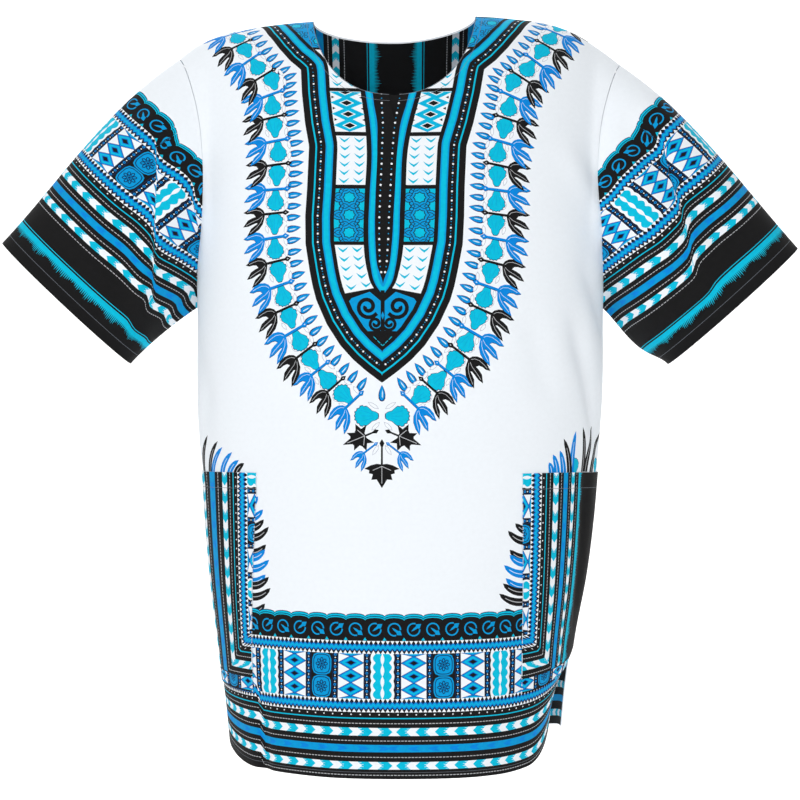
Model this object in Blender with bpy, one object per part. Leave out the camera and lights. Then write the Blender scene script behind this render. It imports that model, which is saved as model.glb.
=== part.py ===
"""Dashiki shirt, filled out as it is worn, with no wearer inside.

Every piece is a thin wall made the way the shirt is cut: a flat outline, in metres across (u) and
up from the hem (v), is triangulated and laid on the surface that the cloth takes when it hangs from
the shoulders. Metres, +Z up, the front faces -Y. The origin is midway between the two neck points.
"""

import bpy
import numpy as np
from mathutils import Vector
from mathutils.geometry import delaunay_2d_cdt

# The cloth
WALL = 0.0012
SEAM_GAP = 0.0004
ARMHOLE_GAP = 0.0007
LAYER_STEP = WALL + 0.0004
MESH_STEP = 0.0185
FINE_STEP = 0.004

# The cut of the body
PANEL_HALF = 0.280
HEM_Z = -0.7735
UNDERARM_Z = -0.3065
TORSO_SQUARENESS = 2.15
ARCH_SQUARENESS = (2.05, 2.75)
SHOULDER_DEPTH = 0.064

# The neck
NECK_CENTRE = -0.006
NECK_HALF = 0.088
FRONT_NECK_Z = -0.0960
BACK_NECK_Z = -0.0190
NECK_CURVE = 2.5
SLIT_DEPTH = 0.026
SLIT_HALF = 0.0048
FACING_DEPTH = 0.066
FACING_REACH = 0.128
FACING_CURVE = 2.5

# The pockets
POCKETS = (
    ("side", "inner_top_u", "inner_bottom_u"),
    (-1, 0.1510, 0.1620),
    (1, 0.1250, 0.1300),
)
POCKET_TOP_Z = -0.4790
POCKET_BOTTOM_Z = -0.6860

# The sleeves
CUFFS = (
    ("side", "top_x", "top_z", "bottom_x", "bottom_z", "bulge", "sag"),
    (-1, 0.4205, -0.2390, 0.2860, -0.3660, 0.010, 0.000),
    (1, 0.4205, -0.2445, 0.2845, -0.3665, 0.010, 0.012),
)
CUFF_DEPTH = 0.050
SLEEVE_AROUND = 32
SLEEVE_ALONG = 12

# Down the torso: how far out each side seam lies, and how deep the back stands. The front has one
# straight cut width, so its depth follows from its side seams.
TORSO = (
    ("z", "right_x", "left_x", "back_depth"),
    (-0.3065, 0.2135, 0.2140, 0.118),
    (-0.4050, 0.2130, 0.2130, 0.121),
    (-0.4690, 0.2080, 0.2080, 0.125),
    (-0.5320, 0.2040, 0.2025, 0.129),
    (-0.5960, 0.1985, 0.1945, 0.133),
    (-0.6590, 0.1905, 0.1835, 0.137),
    (-0.7230, 0.1835, 0.1755, 0.141),
    (-0.7735, 0.1790, 0.1710, 0.144),
)

# The shoulder line: height at a distance out from the middle, for the wearer's right and left.
SHOULDER = (
    ("out", "right_z", "left_z"),
    (0.0000, -0.0030, -0.0030),
    (0.0600, -0.0040, -0.0005),
    (0.0900, -0.0060, -0.0010),
    (0.1240, -0.0088, -0.0040),
    (0.1630, -0.0140, -0.0095),
    (0.2000, -0.0225, -0.0240),
    (0.2200, -0.0310, -0.0370),
    (0.2430, -0.0480, -0.0540),
)
SHOULDER_TIP_U = 0.243
SHOULDER_RUN = 0.967

# The armhole's cut: height above the underarm as a share of the way to the shoulder tip.
ARMHOLE = (
    ("share", "u"),
    (0.00, 0.2800),
    (0.12, 0.2560),
    (0.35, 0.2300),
    (0.60, 0.2240),
    (0.82, 0.2320),
    (1.00, 0.2430),
)

# Folds are soft lines on the flat cut: from one end to the other, with a width and a height.
# A negative height is a trough. The ends fade out over a third of the line.
FRONT_FOLDS = (
    ("u0", "z0", "u1", "z1", "width", "height"),
    (0.158, -0.130, 0.268, -0.262, 0.017, 0.0040),
    (0.190, -0.250, 0.268, -0.350, 0.014, -0.0030),
    (0.180, -0.300, 0.250, -0.470, 0.014, -0.0070),
    (0.130, -0.305, 0.158, -0.420, 0.016, -0.0024),
    (0.212, -0.430, 0.230, -0.680, 0.012, -0.0050),
    (-0.268, -0.310, -0.212, -0.440, 0.017, -0.0042),
    (-0.242, -0.350, -0.252, -0.500, 0.015, 0.0026),
    (-0.158, -0.350, -0.124, -0.600, 0.030, -0.0022),
    (-0.150, -0.680, -0.147, -0.840, 0.009, -0.0045),
    (0.064, -0.600, 0.070, -0.850, 0.032, 0.0032),
    (-0.055, -0.640, -0.064, -0.850, 0.028, 0.0026),
    (-0.226, -0.075, -0.252, -0.265, 0.014, -0.0036),
    (0.226, -0.080, 0.252, -0.265, 0.014, -0.0036),
)
BACK_FOLDS = (
    ("u0", "z0", "u1", "z1", "width", "height"),
    (0.212, -0.350, 0.178, -0.850, 0.021, 0.0080),
    (0.124, -0.255, 0.110, -0.850, 0.023, 0.0090),
    (0.032, -0.320, 0.027, -0.850, 0.021, 0.0060),
    (-0.050, -0.235, -0.052, -0.850, 0.024, 0.0085),
    (-0.130, -0.300, -0.126, -0.850, 0.020, 0.0070),
    (-0.204, -0.280, -0.190, -0.850, 0.022, 0.0085),
    (0.168, -0.445, 0.147, -0.850, 0.017, -0.0045),
    (-0.090, -0.400, -0.088, -0.850, 0.018, -0.0050),
    (0.246, -0.170, 0.126, -0.218, 0.019, -0.0035),
    (-0.250, -0.180, -0.136, -0.244, 0.018, -0.0035),
)

# Folds on a sleeve, placed by how far round it they lie (0 top, 0.25 front, 0.5 under) and by
# how far from armhole to cuff they run.
SLEEVE_FOLDS = {
    -1: (
        ("round0", "along0", "round1", "along1", "width", "height"),
        (0.150, -0.20, 0.300, 0.80, 0.040, -0.0070),
        (0.235, -0.10, 0.375, 0.75, 0.034, 0.0055),
        (0.090, -0.15, 0.060, 0.45, 0.026, -0.0035),
        (0.640, -0.10, 0.700, 0.85, 0.042, -0.0060),
        (0.800, 0.00, 0.830, 0.90, 0.040, 0.0045),
        (0.910, -0.20, 0.880, 0.50, 0.030, -0.0035),
    ),
    1: (
        ("round0", "along0", "round1", "along1", "width", "height"),
        (0.120, -0.10, 0.215, 0.95, 0.036, -0.0070),
        (0.225, -0.15, 0.300, 0.70, 0.036, 0.0055),
        (0.050, -0.10, 0.090, 0.60, 0.028, 0.0030),
        (0.655, -0.10, 0.690, 0.80, 0.040, -0.0060),
        (0.790, 0.00, 0.820, 0.95, 0.042, 0.0045),
        (0.905, -0.20, 0.890, 0.55, 0.030, -0.0030),
    ),
}

# The side vents. The wearer's left side is drawn up, and the front's lower corner there turns in.
VENT_HEIGHT = 0.096
VENT_SPREAD = 0.004
SPREAD_FROM = 0.190
RIGHT_LIFT = 0.016
RIGHT_LIFT_FROM = 0.160
DRAWN_SIDE = 0.022
DRAWN_HEIGHT = 0.260
DRAWN_FROM = 0.100
CORNER_FROM = 0.142
CORNER_FULL = 0.272
CORNER_MOVE = (-0.012, 0.034, 0.040)

WHITE_COTTON = (0.93, 0.95, 0.97, 1.0)
BLACK_PRINT = (0.010, 0.011, 0.013, 1.0)
BLUE_PRINT = (0.005, 0.26, 0.72, 1.0)


def smooth(x):
    """0 below 0, 1 above 1, and an even slope between."""
    x = np.clip(x, 0.0, 1.0)
    return x * x * (3.0 - 2.0 * x)


def named_rows(table):
    """The rows of a table, each as a dictionary by its column names, which are its first row."""
    return [dict(zip(table[0], row)) for row in table[1:]]


def through(table, name, at):
    """A smooth curve through one column of a table, over its first column."""
    rows = sorted((row[table[0][0]], row[name]) for row in named_rows(table))
    x, y = np.array(rows).T
    slope = np.gradient(y, x)
    k = np.clip(np.searchsorted(x, at) - 1, 0, len(x) - 2)
    span = x[k + 1] - x[k]
    t = np.clip((at - x[k]) / span, 0.0, 1.0)
    start, end = (2 * t**3 - 3 * t**2 + 1) * y[k], (3 * t**2 - 2 * t**3) * y[k + 1]
    leave, arrive = (t**3 - 2 * t**2 + t) * slope[k], (t**3 - t**2) * slope[k + 1]
    return start + end + (leave + arrive) * span


def fold_height(fold, along, aside, fade_share):
    """A fold's height: a soft ridge or trough across, fading out towards both of its ends."""
    fade = smooth(along / fade_share) * smooth((1.0 - along) / fade_share)
    return fold["height"] * fade * np.exp(-((aside / fold["width"]) ** 2))


def quarter_curve(reach, depth, squareness, count=160):
    """Points from the middle of a panel (0, depth) round to its side (reach, 0)."""
    angle = np.linspace(0.0, np.pi / 2, count)
    power = 2.0 / squareness
    return np.stack([reach * np.sin(angle) ** power, depth * np.cos(angle) ** power], axis=1)


def lengths(points):
    """How far along a line each of its points is."""
    steps = np.linalg.norm(np.diff(points, axis=0), axis=1)
    return np.concatenate([[0.0], np.cumsum(steps)])


def depth_for_width(reach, width):
    """The depth at which a panel of this half width just goes round to its side seam."""
    low, high = 0.02, 0.40
    for _ in range(40):
        middle = (low + high) / 2
        if lengths(quarter_curve(reach, middle, TORSO_SQUARENESS))[-1] < width:
            low = middle
        else:
            high = middle
    return middle


def across(right_x, left_x, depth, us):
    """Where points at the distances us from the centre line lie on a torso section: x and depth."""
    x, y = np.zeros_like(us), np.zeros_like(us)
    for side, reach in ((-1, right_x), (1, left_x)):
        here = us * side >= 0
        curve = quarter_curve(reach, depth, TORSO_SQUARENESS)
        along = lengths(curve)
        share = np.abs(us[here]) / PANEL_HALF * along[-1]
        x[here] = side * np.interp(share, along, curve[:, 0])
        y[here] = np.interp(share, along, curve[:, 1])
    return x, y


def shoulder_z(u):
    """Height of the shoulder line at a distance from the centre."""
    return float(through(SHOULDER, "right_z" if u < 0 else "left_z", abs(u)))


class Panel:
    """The front (facing -1) or the back (facing +1): the surface that its flat cut takes."""

    def __init__(self, facing, folds):
        self.facing = facing
        self.us = np.linspace(-PANEL_HALF, PANEL_HALF, 2 * int(PANEL_HALF / FINE_STEP) + 1)
        torso = self.torso()
        columns = [self.column(u, torso[:, k]) for k, u in enumerate(self.us)]
        self.top_v = np.array([lengths(c)[-1] for c in columns])
        self.vs = np.arange(0.0, self.top_v.max() + 2 * FINE_STEP, FINE_STEP)
        self.grid = np.array([self.even(c) for c in columns])
        self.normals = self.outward()
        self.grid += self.normals * self.relief(folds)[:, :, None]
        self.draw_up()
        self.open_vents()
        self.normals = self.outward()

    def torso(self):
        """The threads' points on the torso's sections, from the hem to the underarm."""
        sections = []
        for z in np.linspace(HEM_Z, UNDERARM_Z, 60):
            right_x, left_x, depth = (through(TORSO, name, z) for name in TORSO[0][1:])
            if self.facing < 0:
                depth = depth_for_width((right_x + left_x) / 2, PANEL_HALF)
            x, y = across(right_x, left_x, depth, self.us)
            sections.append(np.stack([x, self.facing * y, np.full_like(x, z)], axis=1))
        return np.array(sections)

    def column(self, u, lower):
        """The line that one upright thread takes, from the hem over the chest to the shoulder."""
        return np.concatenate([lower[:-1], self.arch(u, lower[-1, 0], lower[-1, 1])])

    def arch(self, u, chest_x, chest_y):
        """From the chest up and over to the shoulder seam, rounder and fuller towards its tip."""
        angle = np.linspace(0.0, np.pi / 2, 80)
        outer = smooth(abs(u) / SHOULDER_TIP_U)
        power = 2.0 / (ARCH_SQUARENESS[0] + (ARCH_SQUARENESS[1] - ARCH_SQUARENESS[0]) * outer)
        rise, over = np.sin(angle) ** power, np.abs(np.cos(angle)) ** power
        over[-1] = 0.0
        x = chest_x + (u * SHOULDER_RUN - chest_x) * rise**2.2
        full_y = self.facing * max(abs(chest_y), SHOULDER_DEPTH)
        y = (chest_y + (full_y - chest_y) * smooth(rise * 1.5)) * over
        z = UNDERARM_Z + (shoulder_z(u) - UNDERARM_Z) * rise
        return np.stack([x, y, z], axis=1)

    def even(self, column):
        """A column's points at the even heights of the cut; past its end it runs straight on."""
        along = lengths(column)
        past = np.clip(self.vs - along[-1], 0.0, None)[:, None]
        end = column[-1] - column[-2]
        end = end / np.linalg.norm(end)
        return np.stack([np.interp(self.vs, along, column[:, i]) for i in range(3)], axis=1) + past * end

    def outward(self):
        du = np.gradient(self.grid, self.us, axis=0)
        dv = np.gradient(self.grid, self.vs, axis=1)
        normal = np.cross(du, dv) * -self.facing
        return normal / np.linalg.norm(normal, axis=2, keepdims=True)

    def relief(self, folds):
        """The folds' height over the whole cut."""
        u, v = np.meshgrid(self.us, self.vs, indexing="ij")
        height = np.zeros_like(u)
        for fold in named_rows(folds):
            start = np.array([fold["u0"], self.v_at(fold["u0"], fold["z0"])])
            run = np.array([fold["u1"], self.v_at(fold["u1"], fold["z1"])]) - start
            size = np.linalg.norm(run)
            along = ((u - start[0]) * run[0] + (v - start[1]) * run[1]) / size**2
            aside = ((u - start[0]) * run[1] - (v - start[1]) * run[0]) / size
            height += fold_height(fold, along, aside, 1 / 3)
        near_seam = smooth((self.top_v[:, None] - v) / 0.05)
        near_side = smooth((PANEL_HALF - np.abs(u)) / 0.030)
        return height * near_seam * near_side

    def draw_up(self):
        """The wearer's left side is drawn up from hem to hip, seam and all."""
        u, v = np.meshgrid(self.us, self.vs, indexing="ij")
        side = smooth((u - DRAWN_FROM) / (PANEL_HALF - DRAWN_FROM))
        self.grid[:, :, 2] += DRAWN_SIDE * side * smooth((DRAWN_HEIGHT - v) / DRAWN_HEIGHT)

    def open_vents(self):
        """Below the side seams the panels part, and the front's corners lift and turn in."""
        u, v = np.meshgrid(self.us, self.vs, indexing="ij")
        below = smooth((VENT_HEIGHT - v) / VENT_HEIGHT)
        edge = smooth((np.abs(u) - SPREAD_FROM) / (PANEL_HALF - SPREAD_FROM)) * below
        self.grid[:, :, 1] += self.facing * edge * VENT_SPREAD
        if self.facing > 0:
            return
        right = smooth((-u - RIGHT_LIFT_FROM) / (PANEL_HALF - RIGHT_LIFT_FROM)) * below
        left = smooth((u - CORNER_FROM) / (CORNER_FULL - CORNER_FROM))
        self.grid[:, :, 2] += right * RIGHT_LIFT
        for axis, move, power in zip(range(3), CORNER_MOVE, (0.5, 1.5, 1.0)):
            self.grid[:, :, axis] += move * left * below**power

    def v_at(self, u, z):
        """How far up the cut a height is, on the thread at u. Below the hem it counts down."""
        column = self.grid[int(np.argmin(np.abs(self.us - u)))]
        if z < column[0, 2]:
            return float(z - column[0, 2])
        return float(np.interp(z, column[:, 2], self.vs))

    def shoulder_v(self, u):
        return np.interp(u, self.us, self.top_v)

    def at(self, points):
        """Points of the flat cut on the cloth, with the outward normals there."""
        u, v = points[:, 0], points[:, 1]
        i = np.clip((u - self.us[0]) / (self.us[1] - self.us[0]), 0, len(self.us) - 1.000001)
        j = np.clip((v - self.vs[0]) / (self.vs[1] - self.vs[0]), 0, len(self.vs) - 1.000001)
        i0, j0 = i.astype(int), j.astype(int)
        a, b = (i - i0)[:, None], (j - j0)[:, None]
        found = []
        for grid in (self.grid, self.normals):
            low = grid[i0, j0] * (1 - a) + grid[i0 + 1, j0] * a
            high = grid[i0, j0 + 1] * (1 - a) + grid[i0 + 1, j0 + 1] * a
            found.append(low * (1 - b) + high * b)
        normal = found[1] / np.linalg.norm(found[1], axis=1, keepdims=True)
        return found[0], normal


def spaced(points, step):
    """The same line with its points about one step apart, its ends kept."""
    points = np.array(points, float)
    along = lengths(points)
    count = max(1, int(round(along[-1] / step)))
    marks = np.linspace(0.0, along[-1], count + 1)
    return np.stack([np.interp(marks, along, points[:, i]) for i in range(2)], axis=1)


def armhole_line(panel, side):
    """The armhole's cut from underarm to shoulder tip, with as many points as half the sleeve."""
    low = panel.v_at(PANEL_HALF, UNDERARM_Z)
    high = panel.shoulder_v(side * SHOULDER_TIP_U)
    share = np.linspace(0.0, 1.0, 60)
    line = np.stack([side * through(ARMHOLE, "u", share), low + (high - low) * share], axis=1)
    marks = np.linspace(0.0, lengths(line)[-1], SLEEVE_AROUND // 2 + 1)
    return np.stack([np.interp(marks, lengths(line), line[:, i]) for i in range(2)], axis=1)


def neck_line(panel, depth_z):
    """The neckline from one neck point to the other, from the wearer's right to left."""
    angle = np.linspace(0.0, np.pi, 25)
    low = panel.shoulder_v(NECK_CENTRE) - panel.v_at(NECK_CENTRE, depth_z)
    us = NECK_CENTRE - NECK_HALF * np.sign(np.cos(angle)) * np.abs(np.cos(angle)) ** (2 / NECK_CURVE)
    return np.stack([us, panel.shoulder_v(us) - low * np.sin(angle) ** (2 / NECK_CURVE)], axis=1)


def inset(outline, gaps):
    """An outline moved in by its own gap along each edge. It runs counter-clockwise."""
    before, after = np.roll(outline, 1, axis=0), np.roll(outline, -1, axis=0)
    into = lambda d: np.stack([-d[:, 1], d[:, 0]], axis=1) / np.linalg.norm(d, axis=1)[:, None]
    n0, n1 = into(outline - before), into(after - outline)
    g0, g1 = np.roll(gaps, 1), gaps
    moved = []
    for p, a, b, ga, gb in zip(outline, n0, n1, g0, g1):
        cross = a[0] * b[1] - a[1] * b[0]
        if abs(cross) < 0.3:
            moved.append(p + (a * ga + b * gb) / 2)
        else:
            moved.append(p + np.linalg.solve(np.array([a, b]), np.array([ga, gb])))
    return np.array(moved)


def body_outline(panel, neck):
    """The panel's cut, counter-clockwise from the hem's left corner, with each edge's gap."""
    hem = spaced([(-PANEL_HALF, 0.0), (PANEL_HALF, 0.0)], MESH_STEP)
    top = panel.v_at(PANEL_HALF, UNDERARM_Z)
    side = spaced([(PANEL_HALF, 0.0), (PANEL_HALF, top)], MESH_STEP)
    hole = {s: armhole_line(panel, s) for s in (-1, 1)}
    shoulder = {}
    for s in (-1, 1):
        middle = NECK_CENTRE + s * FACING_REACH
        outer = np.linspace(s * SHOULDER_TIP_U, middle, 8)
        inner = np.linspace(middle, NECK_CENTRE + s * NECK_HALF, 4)
        us = np.concatenate([outer, inner[1:]])
        shoulder[s] = np.stack([us, panel.shoulder_v(us)], axis=1)
    runs = (
        (hem, 0.0),
        (side, SEAM_GAP / 2),
        (hole[1], ARMHOLE_GAP / 2),
        (shoulder[1], SEAM_GAP / 2),
        (neck[::-1], 0.0),
        (shoulder[-1][::-1], SEAM_GAP / 2),
        (hole[-1][::-1], ARMHOLE_GAP / 2),
        (side[::-1] * (-1, 1), SEAM_GAP / 2),
    )
    points = np.concatenate([run[:-1] for run, _ in runs])
    gaps = np.concatenate([np.full(len(run) - 1, gap) for run, gap in runs])
    return inset(points, gaps)


def slit_outline(neck_v):
    """The cut-out of the neck slit: a narrow V just below the neckline."""
    right_half = ((SLIT_HALF, neck_v - 0.006), (SLIT_HALF * 1.15, neck_v + 0.004))
    left_half = [(-u, v) for u, v in right_half[::-1]]
    return np.array([(0.0, neck_v - SLIT_DEPTH), *right_half, *left_half]) + (NECK_CENTRE, 0.0)


def pocket_outline(panel, side):
    """A pocket's cut. Its outer edge is caught in the side seam."""
    low, high = panel.v_at(0.2, POCKET_BOTTOM_Z), panel.v_at(0.2, POCKET_TOP_Z)
    edge = PANEL_HALF - SEAM_GAP / 2
    cut = next(row for row in named_rows(POCKETS) if row["side"] == side)
    inner_low, inner_high = (cut["inner_bottom_u"], low), (cut["inner_top_u"], high)
    corners = [inner_low, (edge, low), (edge, high), inner_high]
    if side < 0:
        corners = [(-u, v) for u, v in corners[::-1]]
    closed = corners + corners[:1]
    return np.concatenate([spaced(closed[i : i + 2], MESH_STEP)[:-1] for i in range(4)])


def snapped(points, outline):
    """Points that lie within a millimetre of an outline's corner, moved onto it."""
    moved = points.copy()
    for k, point in enumerate(points):
        away = np.linalg.norm(outline - point, axis=1)
        if away.min() < 0.001:
            moved[k] = outline[np.argmin(away)]
    return moved


def facing_outline(panel, neck):
    """The neck facing's cut: a strip as deep as FACING_DEPTH all round the neck."""
    angle = np.linspace(0.0, np.pi, 61)
    low = panel.shoulder_v(NECK_CENTRE) - neck[len(neck) // 2, 1] + FACING_DEPTH
    us = NECK_CENTRE - FACING_REACH * np.sign(np.cos(angle)) * np.abs(np.cos(angle)) ** (2 / FACING_CURVE)
    drop = low * np.sin(angle) ** (2 / FACING_CURVE)
    curve = spaced(np.stack([us, panel.shoulder_v(us) - SEAM_GAP / 2 - drop], axis=1), MESH_STEP)
    inner = neck[::-1].copy()
    inner[[0, -1], 1] -= SEAM_GAP / 2
    return np.concatenate([curve, inner])


def triangulate(outline, holes, marks):
    """Even triangles inside an outline, none in the holes, with the marks' edges among them.

    Returns the points, the triangles, and for each mark the triangles inside it."""
    low, high = outline.min(axis=0), outline.max(axis=0)
    rows = np.arange(low[1], high[1], MESH_STEP * 0.87)
    inner = []
    for k, v in enumerate(rows):
        us = np.arange(-PANEL_HALF, PANEL_HALF, MESH_STEP) + (k % 2) * MESH_STEP / 2
        inner += [(u, v) for u in us]
    shapes = [outline, *holes, *marks]
    corners = np.concatenate(shapes)
    near = np.array([np.linalg.norm(corners - p, axis=1).min() for p in inner])
    inner = np.array(inner)[near > MESH_STEP * 0.55]
    points = np.concatenate([corners, inner])
    faces, start = [], 0
    for shape in shapes:
        faces.append(list(range(start, start + len(shape))))
        start += len(shape)
    found = delaunay_2d_cdt([Vector(p) for p in points], [], faces, 0, 1e-7, True)
    verts = np.array([(p.x, p.y) for p in found[0]])
    kept, inside = [], [[] for _ in marks]
    for triangle, shapes_here in zip(found[2], found[5]):
        if 0 not in shapes_here or any(1 + h in shapes_here for h in range(len(holes))):
            continue
        kept.append(triangle)
        for m in range(len(marks)):
            if 1 + len(holes) + m in shapes_here:
                inside[m].append(triangle)
    return verts, kept, inside


def flat_material(name, colour):
    material = bpy.data.materials.new(name)
    material.use_nodes = True
    shader = material.node_tree.nodes["Principled BSDF"]
    shader.inputs["Base Color"].default_value = colour
    shader.inputs["Roughness"].default_value = 0.85
    shader.inputs["Metallic"].default_value = 0.0
    return material


def cloth(name, middle, outward, faces, colour, shirt):
    """One piece of cloth: a wall of even thickness about its middle surface, closed at its edge.

    The walls are built here because neighbours share their normals at a seam, where each ends."""
    used = sorted({i for f in faces for i in f})
    new = {old: k for k, old in enumerate(used)}
    faces = [[new[i] for i in f] for f in faces]
    middle, outward = middle[used], outward[used] * (WALL / 2)
    count = len(used)
    edges = {(f[i], f[(i + 1) % len(f)]) for f in faces for i in range(len(f))}
    rim = [[b, a, a + count, b + count] for a, b in sorted(edges) if (b, a) not in edges]
    inner = [[i + count for i in f[::-1]] for f in faces]
    points = np.concatenate([middle + outward, middle - outward])
    mesh = bpy.data.meshes.new(name)
    mesh.from_pydata([tuple(p) for p in points], [], faces + inner + rim)
    mesh.update()
    mesh.materials.append(flat_material(name, colour))
    shirt.objects.link(bpy.data.objects.new(name, mesh))


class Sleeve:
    """A sleeve's middle surface: rings from the armhole seam down to the cuff."""

    def __init__(self, front, back, side):
        self.side = side
        self.round_share = np.arange(SLEEVE_AROUND) / SLEEVE_AROUND
        self.turn = 2 * np.pi * self.round_share
        self.rings = self.flow(self.armhole(front, back))
        self.normals = self.outward()
        self.rings += self.normals * self.relief()[:, :, None]
        self.normals = self.outward()

    def armhole(self, front, back):
        """The seam, from the shoulder tip down the front and up the back, with panel normals."""
        front_points, front_out = front.at(armhole_line(front, self.side))
        back_points, back_out = back.at(armhole_line(back, self.side))
        self.seam_out = np.concatenate([front_out[::-1], back_out[1:-1]])
        return np.concatenate([front_points[::-1], back_points[1:-1]])

    def flow(self, armhole):
        cut = next(row for row in named_rows(CUFFS) if row["side"] == self.side)
        top = np.array([self.side * cut["top_x"], 0.0, cut["top_z"]])
        bottom = np.array([self.side * cut["bottom_x"], 0.0, cut["bottom_z"]])
        middle, reach = (top + bottom) / 2, (top - bottom) / 2
        across, down = np.sin(self.turn)[:, None], np.cos(self.turn)[:, None]
        forward = np.array([0.0, -1.0, 0.0])
        cuff = middle + down * reach + across * forward * CUFF_DEPTH
        axis = np.cross(reach, forward) * self.side
        axis = axis / np.linalg.norm(axis)
        away = np.array([self.side, 0.0, 0.0])
        run = np.linalg.norm(cuff - armhole, axis=1)[:, None]
        leave = axis * 0.75 + away * 0.30 + forward * across * 0.55
        leave = leave / np.linalg.norm(leave, axis=1)[:, None]
        start = armhole + leave * (ARMHOLE_GAP / 2)
        low = np.maximum(-down, 0.0) ** 2 * np.array([0.0, 0.0, -cut["sag"]])
        rings = []
        for t in np.linspace(0.0, 1.0, SLEEVE_ALONG + 1):
            ring = (2 * t**3 - 3 * t**2 + 1) * start + (3 * t**2 - 2 * t**3) * cuff
            ring = ring + (t**3 - 2 * t**2 + t) * leave * run + (t**3 - t**2) * axis * run
            rings.append(ring + (across * forward * cut["bulge"] + low) * np.sin(np.pi * t) ** 1.5)
        return np.array(rings)

    def outward(self):
        about = np.roll(self.rings, -1, axis=1) - np.roll(self.rings, 1, axis=1)
        along = np.gradient(self.rings, axis=0)
        normal = np.cross(along, about) * -self.side
        normal = normal / np.linalg.norm(normal, axis=2, keepdims=True)
        shared = normal[0] + self.seam_out
        shared = shared / np.linalg.norm(shared, axis=1, keepdims=True)
        normal[0] = shared / np.maximum((shared * normal[0]).sum(axis=1, keepdims=True), 0.6)
        self.shared = normal[0]
        return normal

    def relief(self):
        """The folds' height over the sleeve. They fade out at the armhole seam."""
        steps = np.linspace(0.0, 1.0, SLEEVE_ALONG + 1)
        along, about = np.meshgrid(steps, self.round_share, indexing="ij")
        height = np.zeros_like(along)
        for fold in named_rows(SLEEVE_FOLDS[self.side]):
            share = (along - fold["along0"]) / (fold["along1"] - fold["along0"])
            centre = fold["round0"] + (fold["round1"] - fold["round0"]) * np.clip(share, 0.0, 1.0)
            aside = (about - centre + 0.5) % 1.0 - 0.5
            height += fold_height(fold, share, aside, 1 / 4)
        return height * smooth(along / 0.25)

    def seam_normals(self, facing):
        """The shared normals down the front's or the back's armhole, from underarm to tip."""
        half = SLEEVE_AROUND // 2
        if facing < 0:
            return self.shared[: half + 1][::-1]
        return np.concatenate([self.shared[half:], self.shared[:1]])

    def build(self, name, shirt):
        count = SLEEVE_AROUND
        faces = []
        for k in range(SLEEVE_ALONG):
            for i in range(count):
                j = (i + 1) % count
                a, b = k * count + i, k * count + j
                halves = [[a, b, b + count], [a, b + count, a + count]]
                faces += halves if self.side > 0 else [half[::-1] for half in halves]
        cloth(name, self.rings.reshape(-1, 3), self.normals.reshape(-1, 3), faces, BLUE_PRINT, shirt)


def turned(faces, facing):
    """Triangles wound so that they face away from the wearer."""
    return [list(f) if facing < 0 else list(f)[::-1] for f in faces]


def body_panel(name, panel, depth_z, sleeves, shirt):
    """The front or the back, with the neck facing that lies inside it and any pockets on it."""
    neck = neck_line(panel, depth_z)
    is_front = panel.facing < 0
    outline = body_outline(panel, neck)
    holes = [slit_outline(neck[len(neck) // 2, 1])] if is_front else []
    marks = [snapped(facing_outline(panel, neck), outline)]
    if is_front:
        marks += [pocket_outline(panel, s) for s in (-1, 1)]
    verts, faces, inside = triangulate(outline, holes, marks)
    wound = [turned(part, panel.facing) for part in [faces, *inside]]
    points, out = panel.at(verts)
    for sleeve in sleeves:
        shared = sleeve.seam_normals(panel.facing)
        for place, normal in zip(armhole_line(panel, sleeve.side), shared):
            away = np.linalg.norm(verts - place, axis=1)
            out[np.argmin(away)] = normal
    cloth(name, points, out, wound[0], WHITE_COTTON, shirt)
    cloth(f"neck_facing_{name}", points - out * LAYER_STEP, out, wound[1], BLACK_PRINT, shirt)
    for part, which in zip(wound[2:], ("right", "left")):
        cloth(f"pocket_{which}", points + out * LAYER_STEP, out, part, BLUE_PRINT, shirt)


def main():
    for thing in list(bpy.data.objects):
        bpy.data.objects.remove(thing)
    shirt = bpy.data.collections.new("dashiki shirt")
    bpy.context.scene.collection.children.link(shirt)
    front, back = Panel(-1, FRONT_FOLDS), Panel(1, BACK_FOLDS)
    sleeves = [Sleeve(front, back, side) for side in (-1, 1)]
    body_panel("front", front, FRONT_NECK_Z, sleeves, shirt)
    body_panel("back", back, BACK_NECK_Z, sleeves, shirt)
    for sleeve, which in zip(sleeves, ("right", "left")):
        sleeve.build(f"sleeve_{which}", shirt)


main()
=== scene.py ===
"""Dashiki shirt: the looks of its cloth, print, seams and folds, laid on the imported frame.

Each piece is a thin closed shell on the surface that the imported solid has. Its print is drawn on the
flat cut, in millimetres across (u) and up from the hem (v), as plain shapes that are laid on in turn.
"""

import math

import bpy
import numpy as np
from bpy.props import FloatProperty, FloatVectorProperty, PointerProperty
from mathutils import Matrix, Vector
from mathutils.geometry import delaunay_2d_cdt


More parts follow.
